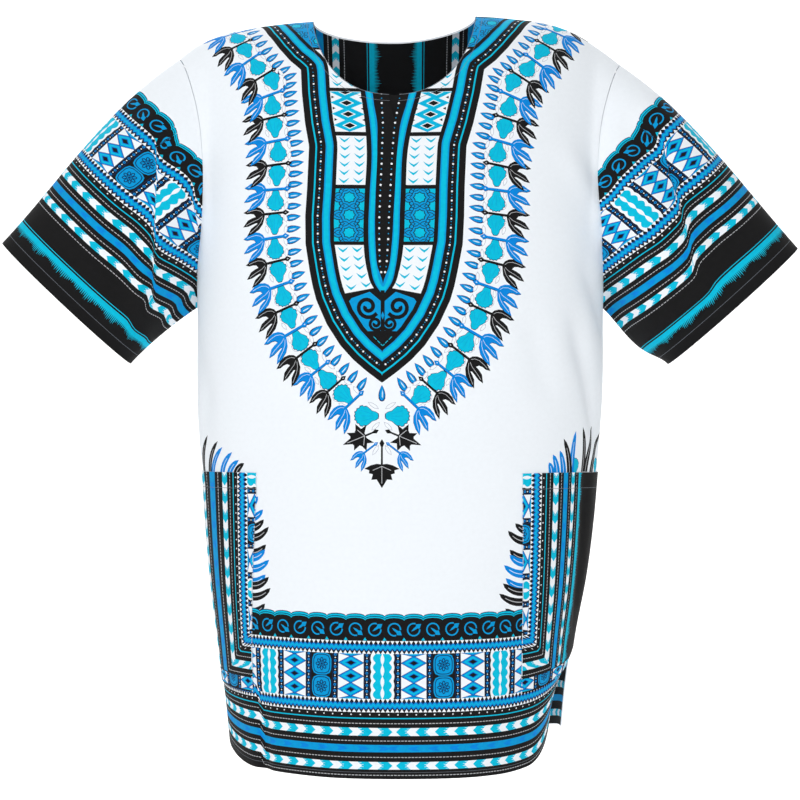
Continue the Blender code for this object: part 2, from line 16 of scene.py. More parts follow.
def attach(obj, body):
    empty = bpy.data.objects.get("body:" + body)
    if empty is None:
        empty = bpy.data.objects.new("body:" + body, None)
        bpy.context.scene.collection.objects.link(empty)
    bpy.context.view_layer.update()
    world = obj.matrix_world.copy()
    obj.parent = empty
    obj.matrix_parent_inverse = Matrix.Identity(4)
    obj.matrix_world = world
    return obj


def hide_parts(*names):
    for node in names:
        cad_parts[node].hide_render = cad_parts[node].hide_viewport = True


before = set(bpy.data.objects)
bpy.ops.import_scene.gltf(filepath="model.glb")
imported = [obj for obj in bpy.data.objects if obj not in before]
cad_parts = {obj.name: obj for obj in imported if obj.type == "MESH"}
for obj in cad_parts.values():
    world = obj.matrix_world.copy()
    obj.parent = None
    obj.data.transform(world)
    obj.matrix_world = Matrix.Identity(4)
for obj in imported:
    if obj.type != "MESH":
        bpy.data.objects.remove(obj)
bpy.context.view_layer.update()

bl_info = {
    "name": "Dashiki shirt",
    "version": (1, 0, 0),
    "blender": (4, 5, 0),
    "location": "3D View > Sidebar > Dashiki",
    "description": "A printed dashiki shirt, piece by piece",
    "category": "Object",
}

# The cloth, as the solids have it
WALL = 0.0012
SEAM_GAP = 0.0004
ARMHOLE_GAP = 0.0007
LAYER_STEP = WALL + 0.0004
EDGE_STEP = 0.0045
FINE_STEP = 0.004
SHARP_TURN = 0.3

# The cut of the body
PANEL_HALF = 0.280
HEM_Z = -0.7735
UNDERARM_Z = -0.3065
TORSO_SQUARENESS = 2.15
ARCH_SQUARENESS = (2.05, 2.75)
SHOULDER_DEPTH = 0.064

# The neck
NECK_CENTRE = -0.006
NECK_HALF = 0.088
FRONT_NECK_Z = -0.0960
BACK_NECK_Z = -0.0190
NECK_CURVE = 2.5
SLIT_DEPTH = 0.026
SLIT_HALF = 0.0048
FACING_DEPTH = 0.066
FACING_REACH = 0.128
FACING_CURVE = 2.5

# The pockets
POCKETS = (
    ("side", "inner_top_u", "inner_bottom_u"),
    (-1, 0.1510, 0.1620),
    (1, 0.1250, 0.1300),
)
POCKET_TOP_Z = -0.4790
POCKET_BOTTOM_Z = -0.6860

# Where the print is taken in at the hem's fold, in millimetres
HEM_TUCK_U = 152.0
HEM_TUCK = 7.0

# The sleeves
CUFFS = (
    ("side", "top_x", "top_z", "bottom_x", "bottom_z", "bulge", "sag"),
    (-1, 0.4205, -0.2390, 0.2860, -0.3660, 0.010, 0.000),
    (1, 0.4205, -0.2445, 0.2845, -0.3665, 0.010, 0.012),
)
CUFF_DEPTH = 0.050
SLEEVE_AROUND = 96
SLEEVE_ALONG = 48

TORSO = (
    ("z", "right_x", "left_x", "back_depth"),
    (-0.3065, 0.2135, 0.2140, 0.118),
    (-0.4050, 0.2130, 0.2130, 0.121),
    (-0.4690, 0.2080, 0.2080, 0.125),
    (-0.5320, 0.2040, 0.2025, 0.129),
    (-0.5960, 0.1985, 0.1945, 0.133),
    (-0.6590, 0.1905, 0.1835, 0.137),
    (-0.7230, 0.1835, 0.1755, 0.141),
    (-0.7735, 0.1790, 0.1710, 0.144),
)

SHOULDER = (
    ("out", "right_z", "left_z"),
    (0.0000, -0.0030, -0.0030),
    (0.0600, -0.0040, -0.0005),
    (0.0900, -0.0060, -0.0010),
    (0.1240, -0.0088, -0.0040),
    (0.1630, -0.0140, -0.0095),
    (0.2000, -0.0225, -0.0240),
    (0.2200, -0.0310, -0.0370),
    (0.2430, -0.0480, -0.0540),
)
SHOULDER_TIP_U = 0.243
SHOULDER_RUN = 0.967

ARMHOLE = (
    ("share", "u"),
    (0.00, 0.2800),
    (0.12, 0.2560),
    (0.35, 0.2300),
    (0.60, 0.2240),
    (0.82, 0.2320),
    (1.00, 0.2430),
)

# The main folds, as the solids have them, and after them the softer ones
FRONT_FOLDS = (
    ("u0", "z0", "u1", "z1", "width", "height"),
    (0.158, -0.130, 0.268, -0.262, 0.017, 0.0040),
    (0.190, -0.250, 0.268, -0.350, 0.014, -0.0030),
    (0.180, -0.300, 0.250, -0.470, 0.014, -0.0070),
    (0.130, -0.305, 0.158, -0.420, 0.016, -0.0024),
    (0.212, -0.430, 0.230, -0.680, 0.012, -0.0050),
    (-0.268, -0.310, -0.212, -0.440, 0.017, -0.0042),
    (-0.242, -0.350, -0.252, -0.500, 0.015, 0.0026),
    (-0.158, -0.350, -0.124, -0.600, 0.030, -0.0022),
    (-0.150, -0.680, -0.147, -0.840, 0.009, -0.0045),
    (0.064, -0.600, 0.070, -0.850, 0.032, 0.0032),
    (-0.055, -0.640, -0.064, -0.850, 0.028, 0.0026),
    (-0.226, -0.075, -0.252, -0.265, 0.014, -0.0036),
    (0.226, -0.080, 0.252, -0.265, 0.014, -0.0036),
)
BACK_FOLDS = (
    ("u0", "z0", "u1", "z1", "width", "height"),
    (0.212, -0.350, 0.178, -0.850, 0.021, 0.0080),
    (0.124, -0.255, 0.110, -0.850, 0.023, 0.0090),
    (0.032, -0.320, 0.027, -0.850, 0.021, 0.0060),
    (-0.050, -0.235, -0.052, -0.850, 0.024, 0.0085),
    (-0.130, -0.300, -0.126, -0.850, 0.020, 0.0070),
    (-0.204, -0.280, -0.190, -0.850, 0.022, 0.0085),
    (0.168, -0.445, 0.147, -0.850, 0.017, -0.0045),
    (-0.090, -0.400, -0.088, -0.850, 0.018, -0.0050),
    (0.246, -0.170, 0.126, -0.218, 0.019, -0.0035),
    (-0.250, -0.180, -0.136, -0.244, 0.018, -0.0035),
)
SLEEVE_FOLDS = {
    -1: (
        ("round0", "along0", "round1", "along1", "width", "height"),
        (0.150, -0.20, 0.300, 0.80, 0.040, -0.0070),
        (0.235, -0.10, 0.375, 0.75, 0.034, 0.0055),
        (0.090, -0.15, 0.060, 0.45, 0.026, -0.0035),
        (0.640, -0.10, 0.700, 0.85, 0.042, -0.0060),
        (0.800, 0.00, 0.830, 0.90, 0.040, 0.0045),
        (0.910, -0.20, 0.880, 0.50, 0.030, -0.0035),
    ),
    1: (
        ("round0", "along0", "round1", "along1", "width", "height"),
        (0.120, -0.10, 0.215, 0.95, 0.036, -0.0070),
        (0.225, -0.15, 0.300, 0.70, 0.036, 0.0055),
        (0.050, -0.10, 0.090, 0.60, 0.028, 0.0030),
        (0.655, -0.10, 0.690, 0.80, 0.040, -0.0060),
        (0.790, 0.00, 0.820, 0.95, 0.042, 0.0045),
        (0.905, -0.20, 0.890, 0.55, 0.030, -0.0030),
    ),
}

# The side vents
VENT_HEIGHT = 0.096
VENT_SPREAD = 0.004
SPREAD_FROM = 0.190
RIGHT_LIFT = 0.016
RIGHT_LIFT_FROM = 0.160
DRAWN_SIDE = 0.022
DRAWN_HEIGHT = 0.260
DRAWN_FROM = 0.100
CORNER_FROM = 0.142
CORNER_FULL = 0.272
CORNER_MOVE = (-0.012, 0.034, 0.040)

# The yoke print: its middle line leans a little, and its edge is the same on both sides of it.
YOKE_AXIS = ((282, -17.9), (388, -17.9), (512, -16.6), (554, -15.8), (626, -12.7), (710, -8), (830, -4))
YOKE_EDGE = (
    (830, 164), (785, 146), (760, 135), (738, 121), (722, 108), (711, 95.5), (683, 92), (650, 86),
    (626, 80), (583, 79.5), (554, 80), (526, 79), (498, 74), (484, 71), (470, 67), (446, 56), (425, 42),
    (411, 29), (400, 16), (388, 0),
)  # fmt: skip
YOKE_MIDDLE = (
    ("v", "black", "ribbon"),
    (475, 0.0, 0.0),
    (486, 0.0, 7.6),
    (505, 6.0, 12.6),
    (525, 8.1, 14.8),
    (571, 9.5, 15.5),
    (626, 10.3, 16.0),
    (655, 12.5, 20.0),
    (670, 16.0, 23.0),
    (690, 19.5, 27.0),
    (830, 60.0, 68.0),
)

INKS = ("white", "black", "cyan", "azure", "blue", "deep", "pale", "line", "seam", "shade")
GRID_STEP = 0.006
FINE_GRID_STEP = 0.005
LONGEST_EDGE = 7.0
LEAST_AREA = 0.05

# The border's stripes, in millimetres in from its edge
PRINT_HALF = 281.0
EDGE_ARROWS = (9.2, 16.5)
BLUE_STRIPE = (25.8, 32.9)
INNER_ARROWS = (41.5, 49.2)
STRIPES_END = 79.0
MAIN_BAND = (77.0, 120.8)
RING_ROW = (133.6, 156.5)
ARROW_PITCH = 19.0
TOOTH_PITCH = 4.6
DASH_PITCH = 3.4
LENS_PITCH = 20.0
FRINGE_PITCH = 1.7
COLUMN_PERIOD = 120.0
HEM_CENTRE = -17.0

# What comes through to the inside of the hem: the border's plain bands
REVERSE_HALF = 278.0
REVERSE_ARROWS_HALF = 266.0
REVERSE_BANDS = (
    ("ink", "low", "high"),
    ("black", 0.6, 9.2),
    ("cyan", 9.2, 16.5),
    ("black", 16.5, 25.8),
    ("azure", 25.8, 32.9),
    ("black", 32.9, 41.5),
    ("cyan", 41.5, 49.2),
    ("black", 49.2, 66.5),
    ("blue", 66.5, 75.5),
    ("azure", 75.5, 121.0),
    ("blue", 121.0, 132.0),
    ("black", 132.0, 154.0),
)

# Small outlines of the print, drawn from their base along x
RING_LEAF = ((-4.0, 0), (-1.0, 0.9), (2.6, 1.2), (4.2, 2.7), (8.2, 0))
STRIPE_LENS = ((0, 27.0), (7, 27.4), (11, 29.3), (7, 31.4), (0, 31.8), (3, 29.3))
CHEVRON = ((-5.6, 3.0), (-2.4, 1.0), (0, -0.3), (2.4, 1.0), (5.6, 3.0), (3.2, -0.4), (0, -3.0), (-3.2, -0.4))
COLUMN_DIAMOND = (
    ("deep", 1.06), ("blue", 0.98), ("cyan", 0.76), ("blue", 0.50), ("deep", 0.36), ("black", 0.26),
)  # fmt: skip
RING_SCALLOPS = (("deep", 3.6), ("cyan", 2.7), ("deep", 1.1), ("cyan", 0.3), ("black", -0.7))
CARTOUCHE = (("azure", 0.0), ("deep", -1.2), ("azure", -2.0))
CARTOUCHE_PETALS = (
    ("deep", ((1.2, 0), (3.4, 1.6), (5.4, 1.5), (6.6, 0))),
    ("azure", ((2.4, 0), (3.8, 0.8), (4.9, 0.7), (5.6, 0))),
)
CELL_DIAMOND = (("cyan", 1.10), ("blue", 0.86), ("cyan", 0.79), ("white", 0.50), ("black", 0.38))
BLOSSOM = (("black", 9.4), ("azure", 8.6), ("black", 6.2), ("cyan", 5.2))
TULIP = (
    (0, 0), (3.8, 2.4), (6.6, 1.0), (8, 1.1), (24.5, 1.1), (25.8, 3.8), (29.3, 6.4), (34, 7.6), (40, 6.8),
    (43.6, 4.8), (47, 3.4), (43, 1.6), (39, 1.7), (35.6, 0.8), (34.0, -1.6), (38, -2.4), (42.6, -4.0),
    (48.2, -9.6), (42.6, -9.6), (37.6, -8.2), (33.6, -7.2), (32.4, -8.0), (35.4, -9.4), (39.6, -11.8),
    (44.4, -18.2), (37.4, -16.6), (31.2, -13.4), (27.0, -8.8), (25.2, -4.0), (24.4, -1.2), (8, -1.1),
    (6.6, -1.0), (3.8, -2.4),
)  # fmt: skip
TULIP_VEINS = (
    ((26.4, 0.8), (28.6, 3.2), (33, 4.6), (38, 4.3), (43, 3.4)),
    ((27.0, -1.4), (31, -3.8), (36, -5.2), (41, -6.8), (44.6, -8.2)),
    ((26.6, -2.8), (29, -7.0), (33, -10.8), (37, -13.4), (41, -15.8)),
)
TULIP_HEAD = ((2.8, 0), (3.6, 0.6), (4.6, 0))
TEARDROP = ((0, 0), (2.5, 1.2), (6, 2.4), (9.6, 3.0), (13.0, 2.8), (15.2, 1.7), (16.0, 0))
TEARDROP_GLEAM = ((5, 0), (8, 0.55), (12, 0.5), (13, 0))
BUD = (
    (0, 0), (0.3, 2.0), (2.6, 3.6), (5.6, 4.4), (8, 6.6), (10.4, 8.4), (12.4, 8.0), (13.6, 8.9), (15.8, 8.3),
    (16.4, 6.6), (18.4, 6.2), (18.8, 4.2), (20.4, 3.4), (19.8, 1.6), (20.6, 0),
)  # fmt: skip
PALM = (
    (0, 0), (3, 2), (6, 0.8), (13, 0.9), (13, 2.4), (8.4, 8.8), (14.4, 7.0), (17.6, 13.2), (19.6, 8.0),
    (21.4, 6.2), (28, 8.6), (26.2, 4.4), (27, 2.8), (35.6, 0),
)  # fmt: skip
LEAF_FLOWER = (
    (0, 0), (4, 2.4), (8, 0.9), (25, 1.0), (24.5, 5), (26, 11), (29.5, 17.5), (31, 12.5), (34, 12.8),
    (35, 9), (40.5, 10.4), (40, 5.2), (42, 4.0), (48.5, 0),
)  # fmt: skip

# The yoke: its lines and ribbons by how deep they lie inside its edge, and its middle by its half width
YOKE_RIM = (("black", 0.0), ("cyan", 6.8), ("black", 8.5))
YOKE_RIBBON = (("azure", 17.4), ("cyan", 18.9), ("azure", 23.9), ("black", 25.4))
YOKE_DOTS_DEPTH = 12.8
CELL_DEPTH = 29.5
YOKE_CORE = (
    ("ink", "line", "grow"),
    ("black", "ribbon", 4.0),
    ("azure", "ribbon", 0.0),
    ("cyan", "ribbon", -1.4),
    ("azure", "ribbon", -5.4),
    ("black", "black", 0.0),
)

# The rank of flowers round the yoke
FLOWER_SPACING = 24.8
FLOWER_RANK = 40.0
TEARDROP_SPACING = 11.1
TIP_LEAN = (0.18, 0.12, 0.04)

# Where the border's depths come to lie across each pocket
POCKET_RISE = 56.5
POCKET_LOW_BAND = 90.0
POCKET_ACROSS = {
    -1: (
        ("depth", "u"),
        (-70, 330), (-34, 285), (0, 276), (9, 256), (17, 240), (26, 224), (33, 212), (41.5, 198),
        (49.2, 190), (77, 162), (130, 109),
    ),
    1: (
        ("depth", "u"),
        (-72, 284), (-60, 270), (-12, 214), (0, 199), (9, 193), (17, 187.5), (26, 182), (33, 176),
        (41.5, 169), (49.2, 162), (77, 135), (130, 82),
    ),
}  # fmt: skip

# The studio
FLOOR_Z = -1.15
SWEEP_HALF = 12.0
SWEEP_FRONT = -5.0
SWEEP_BACK = 3.4
SWEEP_RADIUS = 1.4
SWEEP_HEIGHT = 6.0
WORLD_LIGHT = 0.54
LIGHTS = (
    ("name", "place", "aim", "power", "size"),
    ("key", (-1.7, -2.2, 1.6), (0, 0, -0.4), 35.5, 1.4),
    ("fill", (0.9, -2.2, -0.62), (0, 0, -0.4), 10.6, 0.9),
    ("paper", (0.0, 2.8, 2.9), (0, 4.8, -0.6), 190.0, 4.0),
)
CAMERA_PLACE = (0.0, -2.12, -0.405)
CAMERA_LENS = 90.0
CAMERA_SENSOR = 36.0


def smooth(x):
    """0 below 0, 1 above 1, and an even slope between."""
    x = np.clip(x, 0.0, 1.0)
    return x * x * (3.0 - 2.0 * x)


def named_rows(table):
    """The rows of a table, each as a dictionary by its column names, which are its first row."""
    return [dict(zip(table[0], row)) for row in table[1:]]


def through(table, name, at):
    """A smooth curve through one column of a table, over its first column."""
    rows = sorted((row[table[0][0]], row[name]) for row in named_rows(table))
    x, y = np.array(rows).T
    slope = np.gradient(y, x)
    k = np.clip(np.searchsorted(x, at) - 1, 0, len(x) - 2)
    span = x[k + 1] - x[k]
    t = np.clip((at - x[k]) / span, 0.0, 1.0)
    start, end = (2 * t**3 - 3 * t**2 + 1) * y[k], (3 * t**2 - 2 * t**3) * y[k + 1]
    leave, arrive = (t**3 - 2 * t**2 + t) * slope[k], (t**3 - t**2) * slope[k + 1]
    return start + end + (leave + arrive) * span


def fold_height(fold, along, aside, fade_share):
    fade = smooth(along / fade_share) * smooth((1.0 - along) / fade_share)
    return fold["height"] * fade * np.exp(-((aside / fold["width"]) ** 2))


def quarter_curve(reach, depth, squareness, count=160):
    angle = np.linspace(0.0, np.pi / 2, count)
    power = 2.0 / squareness
    return np.stack([reach * np.sin(angle) ** power, depth * np.cos(angle) ** power], axis=1)


def lengths(points):
    steps = np.linalg.norm(np.diff(points, axis=0), axis=1)
    return np.concatenate([[0.0], np.cumsum(steps)])


def depth_for_width(reach, width):
    low, high = 0.02, 0.40
    for _ in range(40):
        middle = (low + high) / 2
        if lengths(quarter_curve(reach, middle, TORSO_SQUARENESS))[-1] < width:
            low = middle
        else:
            high = middle
    return middle


def across(right_x, left_x, depth, us):
    x, y = np.zeros_like(us), np.zeros_like(us)
    for side, reach in ((-1, right_x), (1, left_x)):
        here = us * side >= 0
        curve = quarter_curve(reach, depth, TORSO_SQUARENESS)
        along = lengths(curve)
        share = np.abs(us[here]) / PANEL_HALF * along[-1]
        x[here] = side * np.interp(share, along, curve[:, 0])
        y[here] = np.interp(share, along, curve[:, 1])
    return x, y


def shoulder_z(u):
    return float(through(SHOULDER, "right_z" if u < 0 else "left_z", abs(u)))


def even_columns(columns, marks):
    """Each line's points at the same distances along it; past its end it runs straight on."""
    rows = []
    for column in columns:
        along = lengths(column)
        past = np.clip(marks - along[-1], 0.0, None)[:, None]
        end = column[-1] - column[-2]
        end = end / np.linalg.norm(end)
        inside = [np.interp(marks, along, column[:, i]) for i in range(3)]
        rows.append(np.stack(inside, axis=1) + past * end)
    return np.array(rows)


def between(grids, x0, dx, y0, dy, points):
    """Values of some grids at points between their rows and columns."""
    count_x, count_y = grids[0].shape[:2]
    i = np.clip((points[:, 0] - x0) / dx, 0, count_x - 1.000001)
    j = np.clip((points[:, 1] - y0) / dy, 0, count_y - 1.000001)
    i0, j0 = i.astype(int), j.astype(int)
    a, b = (i - i0)[:, None], (j - j0)[:, None]
    found = []
    for grid in grids:
        low = grid[i0, j0] * (1 - a) + grid[i0 + 1, j0] * a
        high = grid[i0, j0 + 1] * (1 - a) + grid[i0 + 1, j0 + 1] * a
        found.append(low * (1 - b) + high * b)
    return found


class Panel:
    """The front (facing -1) or the back (facing +1): the surface that its flat cut takes."""

    def __init__(self, facing, folds):
        self.facing = facing
        self.us = np.linspace(-PANEL_HALF, PANEL_HALF, 2 * int(PANEL_HALF / FINE_STEP) + 1)
        torso = self.torso()
        columns = [self.column(u, torso[:, k]) for k, u in enumerate(self.us)]
        self.top_v = np.array([lengths(c)[-1] for c in columns])
        self.vs = np.arange(0.0, self.top_v.max() + 2 * FINE_STEP, FINE_STEP)
        self.grid = even_columns(columns, self.vs)
        self.normals = self.outward()
        self.grid += self.normals * self.relief(folds)[:, :, None]
        self.draw_up()
        self.open_vents()
        self.normals = self.outward()

    def torso(self):
        sections = []
        for z in np.linspace(HEM_Z, UNDERARM_Z, 60):
            right_x, left_x, depth = (through(TORSO, name, z) for name in TORSO[0][1:])
            if self.facing < 0:
                depth = depth_for_width((right_x + left_x) / 2, PANEL_HALF)
            x, y = across(right_x, left_x, depth, self.us)
            sections.append(np.stack([x, self.facing * y, np.full_like(x, z)], axis=1))
        return np.array(sections)

    def column(self, u, lower):
        return np.concatenate([lower[:-1], self.arch(u, lower[-1, 0], lower[-1, 1])])

    def arch(self, u, chest_x, chest_y):
        """From the chest up and over to the shoulder seam, rounder and fuller towards its tip."""
        angle = np.linspace(0.0, np.pi / 2, 80)
        outer = smooth(abs(u) / SHOULDER_TIP_U)
        power = 2.0 / (ARCH_SQUARENESS[0] + (ARCH_SQUARENESS[1] - ARCH_SQUARENESS[0]) * outer)
        rise, over = np.sin(angle) ** power, np.abs(np.cos(angle)) ** power
        over[-1] = 0.0
        x = chest_x + (u * SHOULDER_RUN - chest_x) * rise**2.2
        full_y = self.facing * max(abs(chest_y), SHOULDER_DEPTH)
        y = (chest_y + (full_y - chest_y) * smooth(rise * 1.5)) * over
        z = UNDERARM_Z + (shoulder_z(u) - UNDERARM_Z) * rise
        return np.stack([x, y, z], axis=1)

    def outward(self):
        du = np.gradient(self.grid, self.us, axis=0)
        dv = np.gradient(self.grid, self.vs, axis=1)
        normal = np.cross(du, dv) * -self.facing
        return normal / np.linalg.norm(normal, axis=2, keepdims=True)

    def relief(self, folds):
        u, v = np.meshgrid(self.us, self.vs, indexing="ij")
        height = np.zeros_like(u)
        for fold in named_rows(folds):
            start = np.array([fold["u0"], self.v_at(fold["u0"], fold["z0"])])
            run = np.array([fold["u1"], self.v_at(fold["u1"], fold["z1"])]) - start
            size = np.linalg.norm(run)
            along = ((u - start[0]) * run[0] + (v - start[1]) * run[1]) / size**2
            aside = ((u - start[0]) * run[1] - (v - start[1]) * run[0]) / size
            height += fold_height(fold, along, aside, 1 / 3)
        near_seam = smooth((self.top_v[:, None] - v) / 0.05)
        near_side = smooth((PANEL_HALF - np.abs(u)) / 0.030)
        return height * near_seam * near_side

    def draw_up(self):
        """The wearer's left side is drawn up from hem to hip, seam and all."""
        u, v = np.meshgrid(self.us, self.vs, indexing="ij")
        side = smooth((u - DRAWN_FROM) / (PANEL_HALF - DRAWN_FROM))
        self.grid[:, :, 2] += DRAWN_SIDE * side * smooth((DRAWN_HEIGHT - v) / DRAWN_HEIGHT)

    def open_vents(self):
        """Below the side seams the panels part, and the front's corners lift and turn in."""
        u, v = np.meshgrid(self.us, self.vs, indexing="ij")
        below = smooth((VENT_HEIGHT - v) / VENT_HEIGHT)
        edge = smooth((np.abs(u) - SPREAD_FROM) / (PANEL_HALF - SPREAD_FROM)) * below
        self.grid[:, :, 1] += self.facing * edge * VENT_SPREAD
        if self.facing > 0:
            return
        right = smooth((-u - RIGHT_LIFT_FROM) / (PANEL_HALF - RIGHT_LIFT_FROM)) * below
        left = smooth((u - CORNER_FROM) / (CORNER_FULL - CORNER_FROM))
        self.grid[:, :, 2] += right * RIGHT_LIFT
        for axis, move, power in zip(range(3), CORNER_MOVE, (0.5, 1.5, 1.0)):
            self.grid[:, :, axis] += move * left * below**power

    def v_at(self, u, z):
        """How far up the cut a height is, on the thread at u. Below the hem it counts down."""
        column = self.grid[int(np.argmin(np.abs(self.us - u)))]
        if z < column[0, 2]:
            return float(z - column[0, 2])
        return float(np.interp(z, column[:, 2], self.vs))

    def shoulder_v(self, u):
        return np.interp(u, self.us, self.top_v)

    def at(self, points):
        """Points of the flat cut on the cloth, with the outward normals there."""
        step = self.us[1] - self.us[0]
        place, normal = between((self.grid, self.normals), self.us[0], step, 0.0, FINE_STEP, points)
        return place, normal / np.linalg.norm(normal, axis=1, keepdims=True)


def spaced(points, step):
    """The same line with its points about one step apart, its ends kept."""
    points = np.array(points, float)
    along = lengths(points)
    count = max(1, int(round(along[-1] / step)))
    marks = np.linspace(0.0, along[-1], count + 1)
    return np.stack([np.interp(marks, along, points[:, i]) for i in range(2)], axis=1)


def armhole_line(panel, side):
    """The armhole's cut from underarm to shoulder tip, with as many points as half the sleeve."""
    low = panel.v_at(PANEL_HALF, UNDERARM_Z)
    high = panel.shoulder_v(side * SHOULDER_TIP_U)
    share = np.linspace(0.0, 1.0, 60)
    line = np.stack([side * through(ARMHOLE, "u", share), low + (high - low) * share], axis=1)
    marks = np.linspace(0.0, lengths(line)[-1], SLEEVE_AROUND // 2 + 1)
    return np.stack([np.interp(marks, lengths(line), line[:, i]) for i in range(2)], axis=1)


def neck_line(panel, depth_z):
    """The neckline from one neck point to the other, from the wearer's right to left."""
    angle = np.linspace(0.0, np.pi, 97)
    low = panel.shoulder_v(NECK_CENTRE) - panel.v_at(NECK_CENTRE, depth_z)
    us = NECK_CENTRE - NECK_HALF * np.sign(np.cos(angle)) * np.abs(np.cos(angle)) ** (2 / NECK_CURVE)
    return np.stack([us, panel.shoulder_v(us) - low * np.sin(angle) ** (2 / NECK_CURVE)], axis=1)


def inset(outline, gaps):
    """An outline moved in by its own gap along each edge. It runs counter-clockwise."""

    def into(run):
        return np.stack([-run[:, 1], run[:, 0]], axis=1) / np.linalg.norm(run, axis=1)[:, None]

    arriving = into(outline - np.roll(outline, 1, axis=0))
    leaving = into(np.roll(outline, -1, axis=0) - outline)
    moved = []
    for point, a, b, gap_a, gap_b in zip(outline, arriving, leaving, np.roll(gaps, 1), gaps):
        turn = a[0] * b[1] - a[1] * b[0]
        if abs(turn) < SHARP_TURN:
            moved.append(point + (a * gap_a + b * gap_b) / 2)
        else:
            moved.append(point + np.linalg.solve(np.array([a, b]), np.array([gap_a, gap_b])))
    return np.array(moved)


def body_outline(panel, neck):
    """The panel's cut, counter-clockwise from the hem's left corner, with each edge's gap."""
    hem = spaced([(-PANEL_HALF, 0.0), (PANEL_HALF, 0.0)], EDGE_STEP)
    top = panel.v_at(PANEL_HALF, UNDERARM_Z)
    side = spaced([(PANEL_HALF, 0.0), (PANEL_HALF, top)], EDGE_STEP)
    hole = {s: armhole_line(panel, s) for s in (-1, 1)}
    shoulder = {}
    for s in (-1, 1):
        us = np.linspace(s * SHOULDER_TIP_U, NECK_CENTRE + s * NECK_HALF, 36)
        shoulder[s] = np.stack([us, panel.shoulder_v(us)], axis=1)
    runs = (
        (hem, 0.0),
        (side, SEAM_GAP / 2),
        (hole[1], ARMHOLE_GAP / 2),
        (shoulder[1], SEAM_GAP / 2),
        (neck[::-1], 0.0),
        (shoulder[-1][::-1], SEAM_GAP / 2),
        (hole[-1][::-1], ARMHOLE_GAP / 2),
        (side[::-1] * (-1, 1), SEAM_GAP / 2),
    )
    points = np.concatenate([run[:-1] for run, _ in runs])
    gaps = np.concatenate([np.full(len(run) - 1, gap) for run, gap in runs])
    return inset(points, gaps)


def slit_outline(neck_v):
    """The cut-out of the neck slit: a narrow V just below the neckline."""
    right_half = ((SLIT_HALF, neck_v - 0.006), (SLIT_HALF * 1.15, neck_v + 0.004))
    left_half = [(-u, v) for u, v in right_half[::-1]]
    return np.array([(0.0, neck_v - SLIT_DEPTH), *right_half, *left_half]) + (NECK_CENTRE, 0.0)


def pocket_outline(panel, side):
    """A pocket's cut. Its outer edge is caught in the side seam."""
    low, high = panel.v_at(0.2, POCKET_BOTTOM_Z), panel.v_at(0.2, POCKET_TOP_Z)
    edge = PANEL_HALF - SEAM_GAP / 2
    cut = next(row for row in named_rows(POCKETS) if row["side"] == side)
    inner_low, inner_high = (cut["inner_bottom_u"], low), (cut["inner_top_u"], high)
    corners = [inner_low, (edge, low), (edge, high), inner_high]
    if side < 0:
        corners = [(-u, v) for u, v in corners[::-1]]
    closed = corners + corners[:1]
    return np.concatenate([spaced(closed[i : i + 2], EDGE_STEP)[:-1] for i in range(4)])


def facing_outline(panel, neck):
    """The neck facing's cut: a strip as deep as FACING_DEPTH all round the neck."""
    angle = np.linspace(0.0, np.pi, 121)
    low = panel.shoulder_v(NECK_CENTRE) - neck[len(neck) // 2, 1] + FACING_DEPTH
    us = NECK_CENTRE - FACING_REACH * np.sign(np.cos(angle)) * np.abs(np.cos(angle)) ** (2 / FACING_CURVE)
    drop = low * np.sin(angle) ** (2 / FACING_CURVE)
    curve = spaced(np.stack([us, panel.shoulder_v(us) - SEAM_GAP / 2 - drop], axis=1), EDGE_STEP)
    inner = neck[::-1].copy()
    inner[[0, -1], 1] -= SEAM_GAP / 2
    return np.concatenate([curve, inner])


